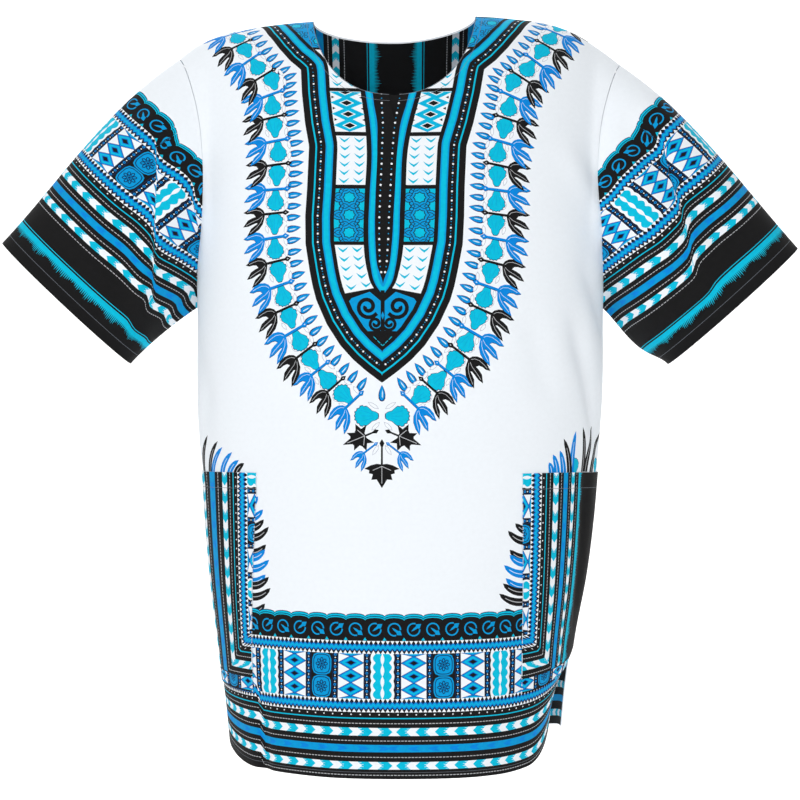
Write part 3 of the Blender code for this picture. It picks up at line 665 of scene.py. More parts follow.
class Sleeve:
    """A sleeve's surface. Its flat cut runs round it (u, 0 on top, front positive) and up from the cuff."""

    def __init__(self, front, back, side):
        self.side = side
        self.round_share = np.arange(SLEEVE_AROUND) / SLEEVE_AROUND
        self.turn = 2 * np.pi * self.round_share
        self.rings = self.flow(self.armhole(front, back))
        self.rings += self.outward(self.rings) * self.relief()[:, :, None]
        self.spread_out()

    def armhole(self, front, back):
        front_points, front_out = front.at(armhole_line(front, self.side))
        back_points, back_out = back.at(armhole_line(back, self.side))
        self.seam_out = np.concatenate([front_out[::-1], back_out[1:-1]])
        return np.concatenate([front_points[::-1], back_points[1:-1]])

    def flow(self, armhole):
        cut = next(row for row in named_rows(CUFFS) if row["side"] == self.side)
        top = np.array([self.side * cut["top_x"], 0.0, cut["top_z"]])
        bottom = np.array([self.side * cut["bottom_x"], 0.0, cut["bottom_z"]])
        middle, reach = (top + bottom) / 2, (top - bottom) / 2
        across_it, down = np.sin(self.turn)[:, None], np.cos(self.turn)[:, None]
        forward = np.array([0.0, -1.0, 0.0])
        cuff = middle + down * reach + across_it * forward * CUFF_DEPTH
        axis = np.cross(reach, forward) * self.side
        axis = axis / np.linalg.norm(axis)
        away = np.array([self.side, 0.0, 0.0])
        run = np.linalg.norm(cuff - armhole, axis=1)[:, None]
        leave = axis * 0.75 + away * 0.30 + forward * across_it * 0.55
        leave = leave / np.linalg.norm(leave, axis=1)[:, None]
        start = armhole + leave * (ARMHOLE_GAP / 2)
        low = np.maximum(-down, 0.0) ** 2 * np.array([0.0, 0.0, -cut["sag"]])
        rings = []
        for t in np.linspace(0.0, 1.0, SLEEVE_ALONG + 1):
            ring = (2 * t**3 - 3 * t**2 + 1) * start + (3 * t**2 - 2 * t**3) * cuff
            ring = ring + (t**3 - 2 * t**2 + t) * leave * run + (t**3 - t**2) * axis * run
            rings.append(ring + (across_it * forward * cut["bulge"] + low) * np.sin(np.pi * t) ** 1.5)
        return np.array(rings)

    def outward(self, rings):
        about = np.roll(rings, -1, axis=1) - np.roll(rings, 1, axis=1)
        along = np.gradient(rings, axis=0)
        normal = np.cross(along, about) * -self.side
        normal = normal / np.linalg.norm(normal, axis=2, keepdims=True)
        shared = normal[0] + self.seam_out
        shared = shared / np.linalg.norm(shared, axis=1, keepdims=True)
        self.shared = shared
        normal[0] = shared
        return normal

    def relief(self):
        steps = np.linspace(0.0, 1.0, SLEEVE_ALONG + 1)
        along, about = np.meshgrid(steps, self.round_share, indexing="ij")
        height = np.zeros_like(along)
        for fold in named_rows(SLEEVE_FOLDS[self.side]):
            share = (along - fold["along0"]) / (fold["along1"] - fold["along0"])
            centre = fold["round0"] + (fold["round1"] - fold["round0"]) * np.clip(share, 0.0, 1.0)
            aside = (about - centre + 0.5) % 1.0 - 0.5
            height += fold_height(fold, share, aside, 1 / 4)
        return height * smooth(along / 0.25)

    def spread_out(self):
        """The flat cut: columns from the cuff up to the armhole, from underarm round to underarm."""
        normals = self.outward(self.rings)
        order = (np.arange(SLEEVE_AROUND + 1) - SLEEVE_AROUND // 2) % SLEEVE_AROUND
        columns = self.rings[::-1, order].transpose(1, 0, 2)
        cuff = self.rings[-1]
        self.width = float(np.linalg.norm(cuff - np.roll(cuff, -1, axis=0), axis=1).sum())
        self.us = np.linspace(-self.width / 2, self.width / 2, SLEEVE_AROUND + 1)
        self.top = np.array([lengths(c)[-1] for c in columns])
        self.step = 0.003
        marks = np.arange(0.0, self.top.max() + 2 * self.step, self.step)
        self.grid = even_columns(columns, marks)
        out = normals[::-1, order].transpose(1, 0, 2)
        self.normals = np.array([
            np.stack([np.interp(marks, lengths(c), o[:, i]) for i in range(3)], axis=1)
            for c, o in zip(columns, out)
        ])

    def outline(self):
        hem = spaced([(-self.width / 2, 0.0), (self.width / 2, 0.0)], EDGE_STEP)
        right = spaced([(self.width / 2, 0.0), (self.width / 2, self.top[-1])], EDGE_STEP)
        left = spaced([(-self.width / 2, self.top[0]), (-self.width / 2, 0.0)], EDGE_STEP)
        top = np.stack([self.us, self.top], axis=1)[::-1]
        return np.concatenate([hem[:-1], right[:-1], top[:-1], left[:-1]])

    def at(self, points):
        step = self.us[1] - self.us[0]
        place, normal = between((self.grid, self.normals), self.us[0], step, 0.0, self.step, points)
        return place, normal / np.linalg.norm(normal, axis=1, keepdims=True)


# Drawing the print


def circle(centre, radius, count):
    angle = np.linspace(0, 2 * np.pi, count, endpoint=False)
    return np.stack([centre[0] + radius * np.cos(angle), centre[1] + radius * np.sin(angle)], axis=1)


def mirrored(half):
    """A closed shape from the upper half of its outline, given from one end of its axis to the other."""
    half = np.array(half, float)
    under = half[::-1] * (1, -1)
    keep = np.abs(under[:, 1]) > 1e-6
    return np.concatenate([half, under[keep]])


def oblong(s0, s1, t0, t1):
    return [(s0, t0), (s1, t0), (s1, t1), (s0, t1)]


def stroke(points, width):
    """A line of the given width as a closed shape."""
    points = np.array(points, float)
    run = np.gradient(points, axis=0)
    run /= np.maximum(np.linalg.norm(run, axis=1, keepdims=True), 1e-9)
    aside = np.stack([-run[:, 1], run[:, 0]], axis=1) * width / 2
    return np.concatenate([points + aside, (points - aside)[::-1]])


def spiral(centre, radius, turns, start, way):
    share = np.linspace(0, 1, 26)
    angle = start + way * share * turns * 2 * np.pi
    reach = radius * (1 - 0.82 * share)
    return np.stack([centre[0] + reach * np.cos(angle), centre[1] + reach * np.sin(angle)], axis=1)


def pointing(points, origin, direction):
    """A shape drawn outward along x, set down at origin and turned to point in a direction."""
    points = np.array(points, float)
    c, s = np.array(direction) / np.linalg.norm(direction)
    turned = np.stack([points[:, 0] * c - points[:, 1] * s, points[:, 0] * s + points[:, 1] * c], axis=1)
    return turned + origin


def closer(points, step):
    """A closed outline with further points on its long edges, so that it bends with the cloth."""
    found = []
    for start, end in zip(points, np.roll(points, -1, axis=0)):
        count = max(1, math.ceil(math.hypot(*(end - start)) / step))
        found.append(start + (end - start) * (np.arange(count) / count)[:, None])
    return np.concatenate(found)


class Print:
    """The inks on one flat cut, in millimetres, in the order they are laid on."""

    def __init__(self):
        self.shapes = []

    def lay(self, ink, points, place=None):
        points = closer(np.array(points, float), LONGEST_EDGE)
        if place:
            points = place(points)
        x, y = points[:, 0], points[:, 1]
        area = float(np.sum(x * np.roll(y, -1) - np.roll(x, -1) * y)) / 2
        if abs(area) < LEAST_AREA:
            return
        if area < 0:
            points = points[::-1]
        self.shapes.append((ink, points))


def band(art, place, ink, s0, s1, t0, t1, step=12.0):
    """A plain stripe from s0 to s1 along a border, between the depths t0 and t1."""
    along = np.linspace(s0, s1, max(2, int((s1 - s0) / step)))
    low = np.stack([along, np.full_like(along, t0)], axis=1)
    high = np.stack([along, np.full_like(along, t1)], axis=1)[::-1]
    art.lay(ink, np.concatenate([low, high]), place)


def tooth_row(art, place, ink, s0, s1, base, tip, pitch):
    for k in range(int((s1 - s0) / pitch)):
        s = s0 + k * pitch
        art.lay(ink, [(s + 0.3, base), (s + pitch - 0.3, base), (s + pitch / 2, tip)], place)


def zigzag(art, place, s0, s1, t0, t1, pitch):
    """White teeth on both edges of a blue band that has a wavy lighter middle."""
    band(art, place, "deep", s0, s1, t0, t1, pitch)
    count = int((s1 - s0) / pitch)
    marks = s0 + np.arange(2 * count + 1) * pitch / 2
    wave = np.where(np.arange(len(marks)) % 2 == 0, -0.5, 0.5)
    middle, reach = (t0 + t1) / 2, (t1 - t0) / 2
    for ink, share in (("blue", 0.78), ("azure", 0.46), ("cyan", 0.14)):
        low = np.stack([marks, middle - reach * share + wave * 2.4], axis=1)
        high = np.stack([marks, middle + reach * share + wave * 2.4], axis=1)
        art.lay(ink, np.concatenate([low, high[::-1]]), place)
    tooth_row(art, place, "white", s0, s1, t0 - 3.0, t0 + 0.3, pitch)
    tooth_row(art, place, "white", s0, s1, t1 + 3.0, t1 - 0.3, pitch)


def arrow_chain(art, place, s0, s1, t0, t1, pitch, flip_at):
    """Cyan arrows with white between them, pointing towards flip_at."""
    band(art, place, "white", s0, s1, t0, t1)
    middle = (t0 + t1) / 2
    count = int((s1 - s0) / pitch) + 1
    for k in range(count):
        s = s0 + k * pitch
        way = 1 if s < flip_at else -1
        tail, tip, depth = s - way * pitch * 0.34, s + way * pitch * 0.20, way * 4.0
        shape = [(tail, t0), (tip, t0), (tip + depth, middle), (tip, t1), (tail, t1), (tail + depth, middle)]
        art.lay("cyan", shape, place)
        for share in (0.12, 0.36, 0.64, 0.88):
            t = t0 + (t1 - t0) * share
            start = tail + depth * (1 - abs(share - 0.5) * 2)
            art.lay("white", stroke([(start, t), (start + way * 2.6, t)], 0.35), place)


def dotted(art, place, ink, s0, s1, t, pitch, radius):
    for k in range(int((s1 - s0) / pitch)):
        art.lay(ink, circle((s0 + k * pitch, t), radius, 6), place)


def dashes(art, place, s0, s1, t):
    for k in range(int((s1 - s0) / DASH_PITCH)):
        s = s0 + k * DASH_PITCH
        art.lay("line", stroke([(s, t), (s + DASH_PITCH * 0.72, t)], 0.7), place)


def ring_row(art, place, s0, s1, t0, t1, pitch):
    """The scalloped top of a border: rings with a leaf through each, on black."""
    count = int((s1 - s0) / pitch)
    angle = np.linspace(np.pi, 0, 7)
    for ink, rise in RING_SCALLOPS:
        points = [(s0, t0)]
        for k in range(count):
            centre = s0 + (k + 0.5) * pitch
            points += [(centre + pitch / 2 * np.cos(a), t1 - 2.6 + rise + 2.6 * np.sin(a)) for a in angle]
        art.lay(ink, points + [(s0 + count * pitch, t0)], place)
    middle = t0 + (t1 - t0) * 0.47
    leaf = mirrored(RING_LEAF)
    for k in range(count):
        centre = s0 + (k + 0.5) * pitch
        turn = 1 if k % 2 else -1
        art.lay("azure", circle((centre, middle), 6.7, 18), place)
        art.lay("black", circle((centre, middle), 5.3, 18), place)
        spot, way = (centre + 0.8, middle + 0.6 * turn), (1, turn * 0.75)
        art.lay("black", pointing(leaf * (1.0, 1.45), spot, way), place)
        art.lay("azure", pointing(leaf, spot, way), place)
        right = centre + pitch / 2
        art.lay("cyan", [(right - 2, t0), (right + 2, t0), (right, t0 + 3)], place)


def beaded_stripe(art, place, s0, s1, t0, t1):
    """A narrow black column with blue rings and white dots in turn."""
    art.lay("deep", oblong(s0, s1, t0, t1), place)
    art.lay("black", oblong(s0 + 0.5, s1 - 0.5, t0, t1), place)
    middle = (s0 + s1) / 2
    for k, t in enumerate(np.arange(t0 + 1.6, t1, 2.9)):
        if k % 2:
            art.lay("white", circle((middle, t), 0.65, 6), place)
        else:
            art.lay("blue", circle((middle, t), 1.35, 8), place)
            art.lay("black", circle((middle, t), 0.6, 6), place)


def ribbon_column(art, place, s0, s1, t0, t1):
    """White with two scalloped cyan ribbons side by side."""
    art.lay("black", oblong(s0, s1, t0, t1), place)
    middle, half = (s0 + s1) / 2, (s1 - s0) / 2
    pitch = (t1 - t0) / 5
    ts = np.linspace(t0, t1, 43)
    scallop = np.abs(np.sin((ts - t0) / pitch * np.pi))
    lens = np.abs(np.sin((ts - t0) / (1.25 * pitch) * np.pi))
    for ink, outer in (("white", half - 1.6 + 1.0 * scallop), ("cyan", 6.4 + 2.8 * scallop)):
        outline = [(middle + w, t) for w, t in zip(outer, ts)]
        outline += [(middle - w, t) for w, t in zip(outer[::-1], ts[::-1])]
        art.lay(ink, outline, place)
    core = [(middle + 0.2 + 1.6 * w, t) for w, t in zip(lens, ts)]
    core += [(middle - 0.2 - 1.6 * w, t) for w, t in zip(lens[::-1], ts[::-1])]
    art.lay("white", core, place)


def diamond_column(art, place, s0, s1, t0, t1):
    """Three diamonds one above the other, with crossing blue lines and white triangles."""
    art.lay("white", oblong(s0, s1, t0, t1), place)
    middle, half, tall = (s0 + s1) / 2, (s1 - s0) / 2, (t1 - t0) / 3.4
    first = t0 + (t1 - t0) / 2
    for k in (-2, -1, 0, 1, 2):
        centre = first + k * tall
        for ink, share in COLUMN_DIAMOND:
            shape = []
            for x, y in ((half, 0), (0, tall / 2), (-half, 0), (0, -tall / 2)):
                shape.append((middle + x * share, min(max(centre + y * share * 1.05, t0), t1)))
            art.lay(ink, shape, place)


def flower_column(art, place, s0, s1, t0, t1):
    """Two scalloped cartouches, each with an eight-petalled flower."""
    art.lay("black", oblong(s0, s1, t0, t1), place)
    middle, half, tall = (s0 + s1) / 2, (s1 - s0) / 2, (t1 - t0) / 2
    for k in range(2):
        centre = t0 + tall * (k + 0.5)
        angle = np.linspace(0, 2 * np.pi, 40, endpoint=False)
        for ink, grow in CARTOUCHE:
            wide, high = half - 0.4 + grow, tall / 2 - 0.3 + grow
            notch = 1 - 0.13 * ((1 - np.cos(4 * angle)) / 2) ** 6
            box = np.maximum(np.abs(np.cos(angle)), np.abs(np.sin(angle))) ** 0.85
            xs = middle + wide * np.cos(angle) / box * notch
            ys = centre + high * np.sin(angle) / box * notch
            art.lay(ink, np.stack([np.clip(xs, s0, s1), np.clip(ys, t0, t1)], axis=1), place)
        for a in np.arange(8) * np.pi / 4:
            for ink, half_petal in CARTOUCHE_PETALS:
                art.lay(ink, pointing(mirrored(half_petal), (middle, centre), (np.cos(a), np.sin(a))), place)
        art.lay("deep", circle((middle, centre), 1.2, 8), place)


def main_band(art, place, s0, s1, t0, t1, centre, period):
    """The border's wide band: ribbon, diamonds and flowers in turn, beads between them."""
    band(art, place, "black", s0, s1, t0, t1)
    columns = (
        (ribbon_column, -12.2, 12.2),
        (beaded_stripe, 12.4, 17.6),
        (diamond_column, 18.2, 43.0),
        (beaded_stripe, 43.6, 48.8),
        (flower_column, 49.6, 70.4),
        (beaded_stripe, 71.2, 76.4),
        (diamond_column, 77.0, 101.8),
        (beaded_stripe, 102.4, 107.6),
    )
    scale = period / COLUMN_PERIOD
    for k in range(math.floor((s0 - centre) / period) - 1, math.ceil((s1 - centre) / period) + 1):
        for draw, left, right in columns:
            a, b = centre + k * period + left * scale, centre + k * period + right * scale
            if b < s0 or a > s1:
                continue
            draw(art, place, a, b, t0, t1)


def stripes(art, place, s0, s1, flip_at):
    """The lower part of a border, from its edge in: lines, arrow chains and a blue band on black."""
    band(art, place, "black", s0, s1, -0.5, STRIPES_END)
    dashes(art, place, s0, s1, 3.7)
    arrow_chain(art, place, s0, s1, *EDGE_ARROWS, ARROW_PITCH, flip_at)
    dashes(art, place, s0, s1, 20.9)
    band(art, place, "azure", s0, s1, *BLUE_STRIPE)
    for k in range(int((s1 - s0) / LENS_PITCH)):
        s = s0 + k * LENS_PITCH
        way = 1 if s < flip_at else -1
        art.lay("blue", [(s + way * x, t) for x, t in STRIPE_LENS], place)
    dashes(art, place, s0, s1, 36.7)
    arrow_chain(art, place, s0, s1, *INNER_ARROWS, ARROW_PITCH, flip_at)
    dashes(art, place, s0, s1, 53.4)
    band(art, place, "cyan", s0, s1, 57.8, 58.9)
    dotted(art, place, "white", s0, s1, 61.9, 9.0, 0.75)
    zigzag(art, place, s0, s1, 67.2, 74.0, TOOTH_PITCH)


def fringe(art, place, s0, s1):
    """Beyond the stripes: a thin cyan line, a band and its brushed fringe, down to plain black."""
    band(art, place, "black", s0, s1, -64.0, 0.0)
    band(art, place, "cyan", s0, s1, -21.6, -20.8)
    brush(art, place, s0, s1, -23.4, -28.5)


def brush(art, place, s0, s1, top, low):
    """A cyan band with a brushed fringe of fine strokes below it."""
    band(art, place, "cyan", s0, s1, low, top)
    rng = np.random.default_rng(7)
    for k in range(int((s1 - s0) / FRINGE_PITCH)):
        s = s0 + k * FRINGE_PITCH
        reach = (6.8 + 2.2 * math.sin(s * 0.21)) * rng.uniform(0.55, 1.0)
        art.lay("cyan", [(s - 0.75, low + 0.2), (s + 0.75, low + 0.2), (s + 0.2, low - reach)], place)


def border(art, place, s0, s1, centre, flip_at):
    """The whole border, from the edge up to its scalloped top."""
    stripes(art, place, s0, s1, flip_at)
    main_band(art, place, s0, s1, *MAIN_BAND, centre, COLUMN_PERIOD)
    band(art, place, "black", s0, s1, MAIN_BAND[1], 134.0)
    zigzag(art, place, s0, s1, 123.7, 130.2, TOOTH_PITCH)
    ring_row(art, place, s0, s1, *RING_ROW, ARROW_PITCH)


# The yoke


def axis_at(v):
    return np.interp(v, *np.array(YOKE_AXIS, float).T)


def yoke_edge(side):
    """One side of the yoke's edge from the shoulder down to its tip."""
    v, half = np.array(YOKE_EDGE, float).T
    return spaced(np.stack([axis_at(v) + side * half, v], axis=1), 3.0)


def yoke_normals(line, side, window):
    """Outward directions along one side of the yoke, evened over a window of points."""
    run = np.gradient(line, axis=0)
    run /= np.linalg.norm(run, axis=1, keepdims=True)
    kernel = np.ones(window) / window
    padded = np.pad(run, ((window // 2, window // 2), (0, 0)), mode="edge")
    run = np.stack([np.convolve(padded[:, i], kernel, mode="valid") for i in range(2)], axis=1)
    run /= np.linalg.norm(run, axis=1, keepdims=True)
    return np.stack([-run[:, 1], run[:, 0]], axis=1) * side


def yoke_line(depth):
    """The whole outline at a depth inside the yoke's edge, left side down and right side up."""
    sides = []
    for side in (-1, 1):
        line = yoke_edge(side)
        moved = line - yoke_normals(line, side, 5) * depth
        inside = (moved[:, 0] - axis_at(moved[:, 1])) * side > 0
        last = int(np.argmin(inside)) if not inside.all() else len(inside)
        sides.append(moved[:last])
    low = min(sides[0][-1, 1], sides[1][-1, 1])
    tip = np.array([[axis_at(low), low - 1.5]])
    return np.concatenate([sides[0], tip, sides[1][::-1]])


def cell(side, depth, v_low, v_high, slope):
    """A yoke cell's corners: outer and inner edges from low to high."""
    outer = yoke_line(depth)
    half = len(outer) // 2
    line = outer[:half] if side < 0 else outer[half:][::-1]
    vs = np.linspace(v_low, v_high, 8)
    order = np.argsort(line[:, 1])
    outside = np.interp(vs, line[order, 1], line[order, 0])
    inside = axis_at(vs) + side * (through(YOKE_MIDDLE, "ribbon", vs) + 5.0)
    return np.stack([outside, vs], axis=1), np.stack([inside, vs + np.linspace(slope, 0, 8)], axis=1)


def chevrons(art, outer, inner, rows):
    """A white cell with two columns of small cyan V shapes."""
    art.lay("white", np.concatenate([outer, inner[::-1]]))
    for k in range(rows):
        share = (k + 0.5) / rows * (len(outer) - 1)
        i = int(share)
        a = outer[i] + (outer[i + 1] - outer[i]) * (share - i)
        b = inner[i] + (inner[i + 1] - inner[i]) * (share - i)
        for x in (0.26, 0.76):
            centre = a + (b - a) * x
            art.lay("cyan", np.array(CHEVRON) + centre)


def lattice(art, outer, inner):
    """A blue cell with blossoms in a net of dark curved lines."""
    art.lay("azure", np.concatenate([outer, inner[::-1]]))
    low, high = outer[0, 1], outer[-1, 1]
    middle = (outer[:, 0].mean() + inner[:, 0].mean()) / 2
    wide, tall = abs(outer[:, 0].mean() - inner[:, 0].mean()) / 2, (high - low) / 3

    def within(points):
        """Kept inside the cell."""
        v = np.clip(points[:, 1], low, high)
        a, b = np.interp(v, outer[:, 1], outer[:, 0]), np.interp(v, inner[:, 1], inner[:, 0])
        return np.stack([np.clip(points[:, 0], np.minimum(a, b), np.maximum(a, b)), v], axis=1)

    angle = np.linspace(0, 2 * np.pi, 24, endpoint=False)
    edges = [(middle + way * wide, low + k * tall) for way in (-1, 1) for k in range(4)]
    middles = [(middle, low + (k + 0.5) * tall) for k in range(3)]
    for spots in (edges, middles):
        for x, y in spots:
            for ink, grow in BLOSSOM:
                reach = grow * (1 + 0.13 * np.cos(8 * angle))
                lobed = np.stack([x + reach * np.cos(angle), y + reach * np.sin(angle) * 0.9], axis=1)
                art.lay(ink, within(lobed))
    for x, y in middles:
        for way in (-1, 1):
            for rise in (-1, 1):
                art.lay("black", within(circle((x + way * wide * 0.55, y + rise * tall * 0.34), 2.3, 8)))
                art.lay("azure", within(circle((x + way * wide * 0.55, y + rise * tall * 0.34), 1.6, 8)))


def diamonds(art, outer, inner):
    """A white cell with three lens-shaped black diamonds in thick cyan zigzag outlines."""
    art.lay("white", np.concatenate([outer, inner[::-1]]))
    low, high = outer[0, 1], outer[-1, 1]
    tall = (high - low) / 3.6
    for k in range(4):
        v = low + (k + 0.55) * tall
        i = min(len(outer) - 1, int((v - low) / (high - low) * len(outer)))
        a, b = outer[i, 0], inner[i, 0]
        middle, half = (a + b) / 2, abs(b - a) / 2 - 0.6
        for ink, share in CELL_DIAMOND:
            wide, high_half = half * share, tall * 0.60 * share
            shape = np.array([(wide, 0), (0, high_half), (-wide, 0), (0, -high_half)]) + (middle, v)
            shape[:, 1] = np.clip(shape[:, 1], low, high)
            art.lay(ink, shape)
        for way in (-1, 1):
            edge = middle + way * (half + 0.6)
            tip = v + tall / 2
            if tip < high - 1:
                art.lay("black", [(edge, tip - 1.6), (edge - way * 3.2, tip), (edge, tip + 1.6)])


def scroll_field(art):
    """The point of the yoke: azure shapes round black scrolls."""
    outer = yoke_line(30.0)
    half = len(outer) // 2
    for side, line in ((-1, outer[:half]), (1, outer[half:][::-1])):
        line = line[(line[:, 1] < 471) & (line[:, 1] > 438)]
        line = line[np.argsort(line[:, 1])]
        x = axis_at(460)
        inner = [(x + side * 31, 472), (x + side * 13, 478.5), (x + side * 1.6, 469), (x + side * 1.6, 440)]
        art.lay("azure", np.concatenate([line, inner]))
    for side in (-1, 1):
        for x, v, radius, width in ((15.2, 463.5, 11.4, 3.9), (7.0, 447.0, 7.0, 3.1)):
            centre = (axis_at(v) + side * x, v)
            start = -0.6 if side < 0 else np.pi + 0.6
            art.lay("black", stroke(spiral(centre, radius, 1.45, start, side), width))
    x = axis_at(455)
    art.lay("black", stroke([(x, 480), (x, 438)], 4.0))
    art.lay("azure", [(x - 1.6, 455), (x, 451), (x + 1.6, 455), (x, 459)])
    for side in (-1, 1):
        for a, b in (((9, 434), (6.2, 431)), ((5.2, 430), (2.6, 427.5)), ((1.8, 426.6), (0.2, 425))):
            art.lay("cyan", stroke([(x + side * a[0], a[1]), (x + side * b[0], b[1])], 0.7))


def teardrop(art, origin, direction):
    full = mirrored(TEARDROP)
    art.lay("deep", pointing(full * (1.04, 1.18), origin, direction))
    art.lay("blue", pointing(full * (0.95, 0.88) + (0.3, 0), origin, direction))
    art.lay("azure", pointing(full * (0.75, 0.55) + (2.2, 0.2), origin, direction))
    art.lay("pale", pointing(mirrored(TEARDROP_GLEAM) + (0, 0.5), origin, direction))


def tulip(art, origin, direction, ink, side, scale):
    """A flower with a small diamond head, a long stem, and a cup whose three prongs droop."""
    vein = "line" if ink == "black" else "pale"
    flip = (1.0, side)
    if ink != "black":
        rim = np.array(TULIP) + (0.2, -0.5)
        art.lay("deep", pointing(rim * flip * scale, origin, direction))
    art.lay(ink, pointing(np.array(TULIP) * flip * scale, origin, direction))
    for line in TULIP_VEINS:
        art.lay(vein, pointing(stroke(np.array(line) * flip, 0.40) * scale, origin, direction))
    art.lay(vein, pointing(mirrored(TULIP_HEAD) * scale, origin, direction))


def spray(art, shape, origin, direction, scale, vein):
    """A black leaf spray on a stem, with a fine line down its middle and out to its sides."""
    art.lay("black", pointing(mirrored(shape) * scale, origin, direction))
    start, end, out = vein
    art.lay("line", pointing(stroke([(start, 0), (end, 0)], 0.6) * scale, origin, direction))
    for way in (-1, 1):
        aside = stroke([(start, 0), (start + 4.0, out * way)], 0.6)
        art.lay("line", pointing(aside * scale, origin, direction))


def bud(art, middle, direction, scale):
    """A wavy rosebud about its middle, its narrow end first."""
    shape = (mirrored(BUD) - (10.0, 0.0)) * scale
    art.lay("deep", pointing(shape * 1.03, middle, direction))
    art.lay("cyan", pointing(shape * 0.96, middle, direction))
    for way in (-1, 0, 1):
        crease = stroke([(-5, way * 1.6), (0, way * 3.2), (5, way * 4.6)], 0.3)
        art.lay("azure", pointing(crease * scale, middle, direction))


def outline_leaf(art, origin, direction, length):
    half = [(0, 0), (length * 0.3, 1.9), (length * 0.7, 1.7), (length, 0)]
    art.lay("shade", pointing(mirrored(half), origin, direction))
    inner = [(0.9, 0), (length * 0.3, 1.45), (length * 0.7, 1.25), (length - 0.9, 0)]
    art.lay("white", pointing(mirrored(inner), origin, direction))


def side_flowers(art, side):
    """Along one side of the yoke: teardrops next to it, then buds, and tulips between them."""
    line = yoke_edge(side)
    along = lengths(line)
    out = yoke_normals(line, side, 25)

    def spot(s):
        return np.array([np.interp(s, along, line[:, i]) for i in range(2)])

    def away(s):
        return np.array([np.interp(s, along, out[:, i]) for i in range(2)])

    for s in np.arange(along[-1] - 15.0, 24.0, -TEARDROP_SPACING):
        teardrop(art, spot(s) + away(s) * 4.5, away(s) + (0, -0.16))
    rank = lengths(line + out * FLOWER_RANK)
    marks = rank[-1] - 10.0 - FLOWER_SPACING * np.arange(40)
    marks = marks[marks > 10.0]
    for k, s in enumerate(np.interp(marks - FLOWER_SPACING / 2, rank, along)):
        tangent = np.array([away(s)[1], -away(s)[0]])
        towards = tangent if (k % 2 == 0) == (side < 0) else -tangent
        middle = spot(s) + away(s) * 33.0
        for way in (-1, 1):
            outline_leaf(art, middle - away(s) * 13.0 + tangent * way, tangent * way + away(s) * 0.2, 10)
            outline_leaf(art, middle + away(s) * 10.0 + tangent * way, tangent * way - away(s) * 0.3, 9)
        bud(art, middle, towards, 1.07)
    for k, s in enumerate(np.interp(marks, rank, along)):
        near_tip = k < len(TIP_LEAN)
        lean, scale = (TIP_LEAN[k], 1.0) if near_tip else (-0.08, 1.12)
        tulip(art, spot(s) + away(s) * 17.0, away(s) + (0, lean), ("blue", "black")[k % 2], side, scale)


def tip_flowers(art):
    """Below the yoke's tip: two buds, leaf sprays, small tulips and a leafy flower in the middle."""
    tip = np.array([axis_at(388), 386.0])
    teardrop(art, tip, (0, -1))
    for way in (-1, 1):
        bud(art, tip + (way * 15, -31), (way, 0.0), 1.18)
        outline_leaf(art, tip + (way * 3, -24), (way * 0.8, 0.5), 13)
        outline_leaf(art, tip + (way * 2, -37), (way * 0.75, -0.75), 12)
        spray(art, PALM, tip + (way * 3, -45), (way * 1.0, -0.42), 1.10, (14.0, 31.0, 7.5))
        tulip(art, tip + (way * 4, -57), (way * 0.80, -0.62), "blue", way, 0.70)
        outline_leaf(art, tip + (way * 3, -60), (way * 0.55, -0.85), 12)
    spray(art, LEAF_FLOWER, tip + (0, -54), (0, -1), 1.0, (27.0, 44.0, 9.0))


YOKE_CELLS = (
    ("draw", "low", "high", "slope", "rows"),
    (lattice, 741.0, 800.0, 0.0, ()),
    (chevrons, 690.5, 738.0, 0.0, (5,)),
    (diamonds, 641.6, 686.5, 0.0, ()),
    (chevrons, 586.0, 637.3, 0.0, (6,)),
    (lattice, 528.6, 582.0, 0.0, ()),
    (chevrons, 476.7, 525.0, 6.0, (5,)),
)


def dot(art, at, big, big_radius, small_radius):
    """A white dot, or a smaller blue one."""
    art.lay("white" if big else "azure", circle(at, big_radius if big else small_radius, 8))


def yoke_dots(art, side):
    line = yoke_edge(side)
    along = lengths(line)
    moved = line - yoke_normals(line, side, 5) * YOKE_DOTS_DEPTH
    for k, s in enumerate(np.arange(6.0, along[-1] - 12.0, 3.1)):
        dot(art, [np.interp(s, along, moved[:, i]) for i in range(2)], k % 3 == 0, 1.05, 0.55)


def yoke_core(art):
    """The black middle of the yoke between its two ribbons, with dots down both sides."""
    vs = np.concatenate([np.linspace(830, 505, 60), np.linspace(502, 475, 19)])
    for row in named_rows(YOKE_CORE):
        reach = np.maximum(through(YOKE_MIDDLE, row["line"], vs) + row["grow"], 0.0)
        if row["grow"] < 0:
            reach = np.maximum(reach, through(YOKE_MIDDLE, "black", vs))
        keep = reach > 0.05
        left = np.stack([axis_at(vs) - reach, vs], axis=1)[keep]
        right = np.stack([axis_at(vs) + reach, vs], axis=1)[keep][::-1]
        low = vs[keep][-1] - (4.0 if row["grow"] > 0 else 0.5)
        art.lay(row["ink"], np.concatenate([left, [[axis_at(low), low]], right]))
    for k, v in enumerate(np.arange(498.0, 700.0, 5.5)):
        reach = float(through(YOKE_MIDDLE, "black", v)) * 0.52
        for side in (-1, 1):
            dot(art, (axis_at(v) + side * reach, v), k % 2 == 0, 1.15, 0.65)


def yoke(art):
    """The yoke with its ribbons, dots and cells."""
    for ink, depth in YOKE_RIM:
        art.lay(ink, yoke_line(depth))
    for side in (-1, 1):
        yoke_dots(art, side)
    for ink, depth in YOKE_RIBBON:
        art.lay(ink, yoke_line(depth))
    for side in (-1, 1):
        for row in named_rows(YOKE_CELLS):
            row["draw"](art, *cell(side, CELL_DEPTH, row["low"], row["high"], row["slope"]), *row["rows"])
    yoke_core(art)
    scroll_field(art)


# Cutting the print into the cloth


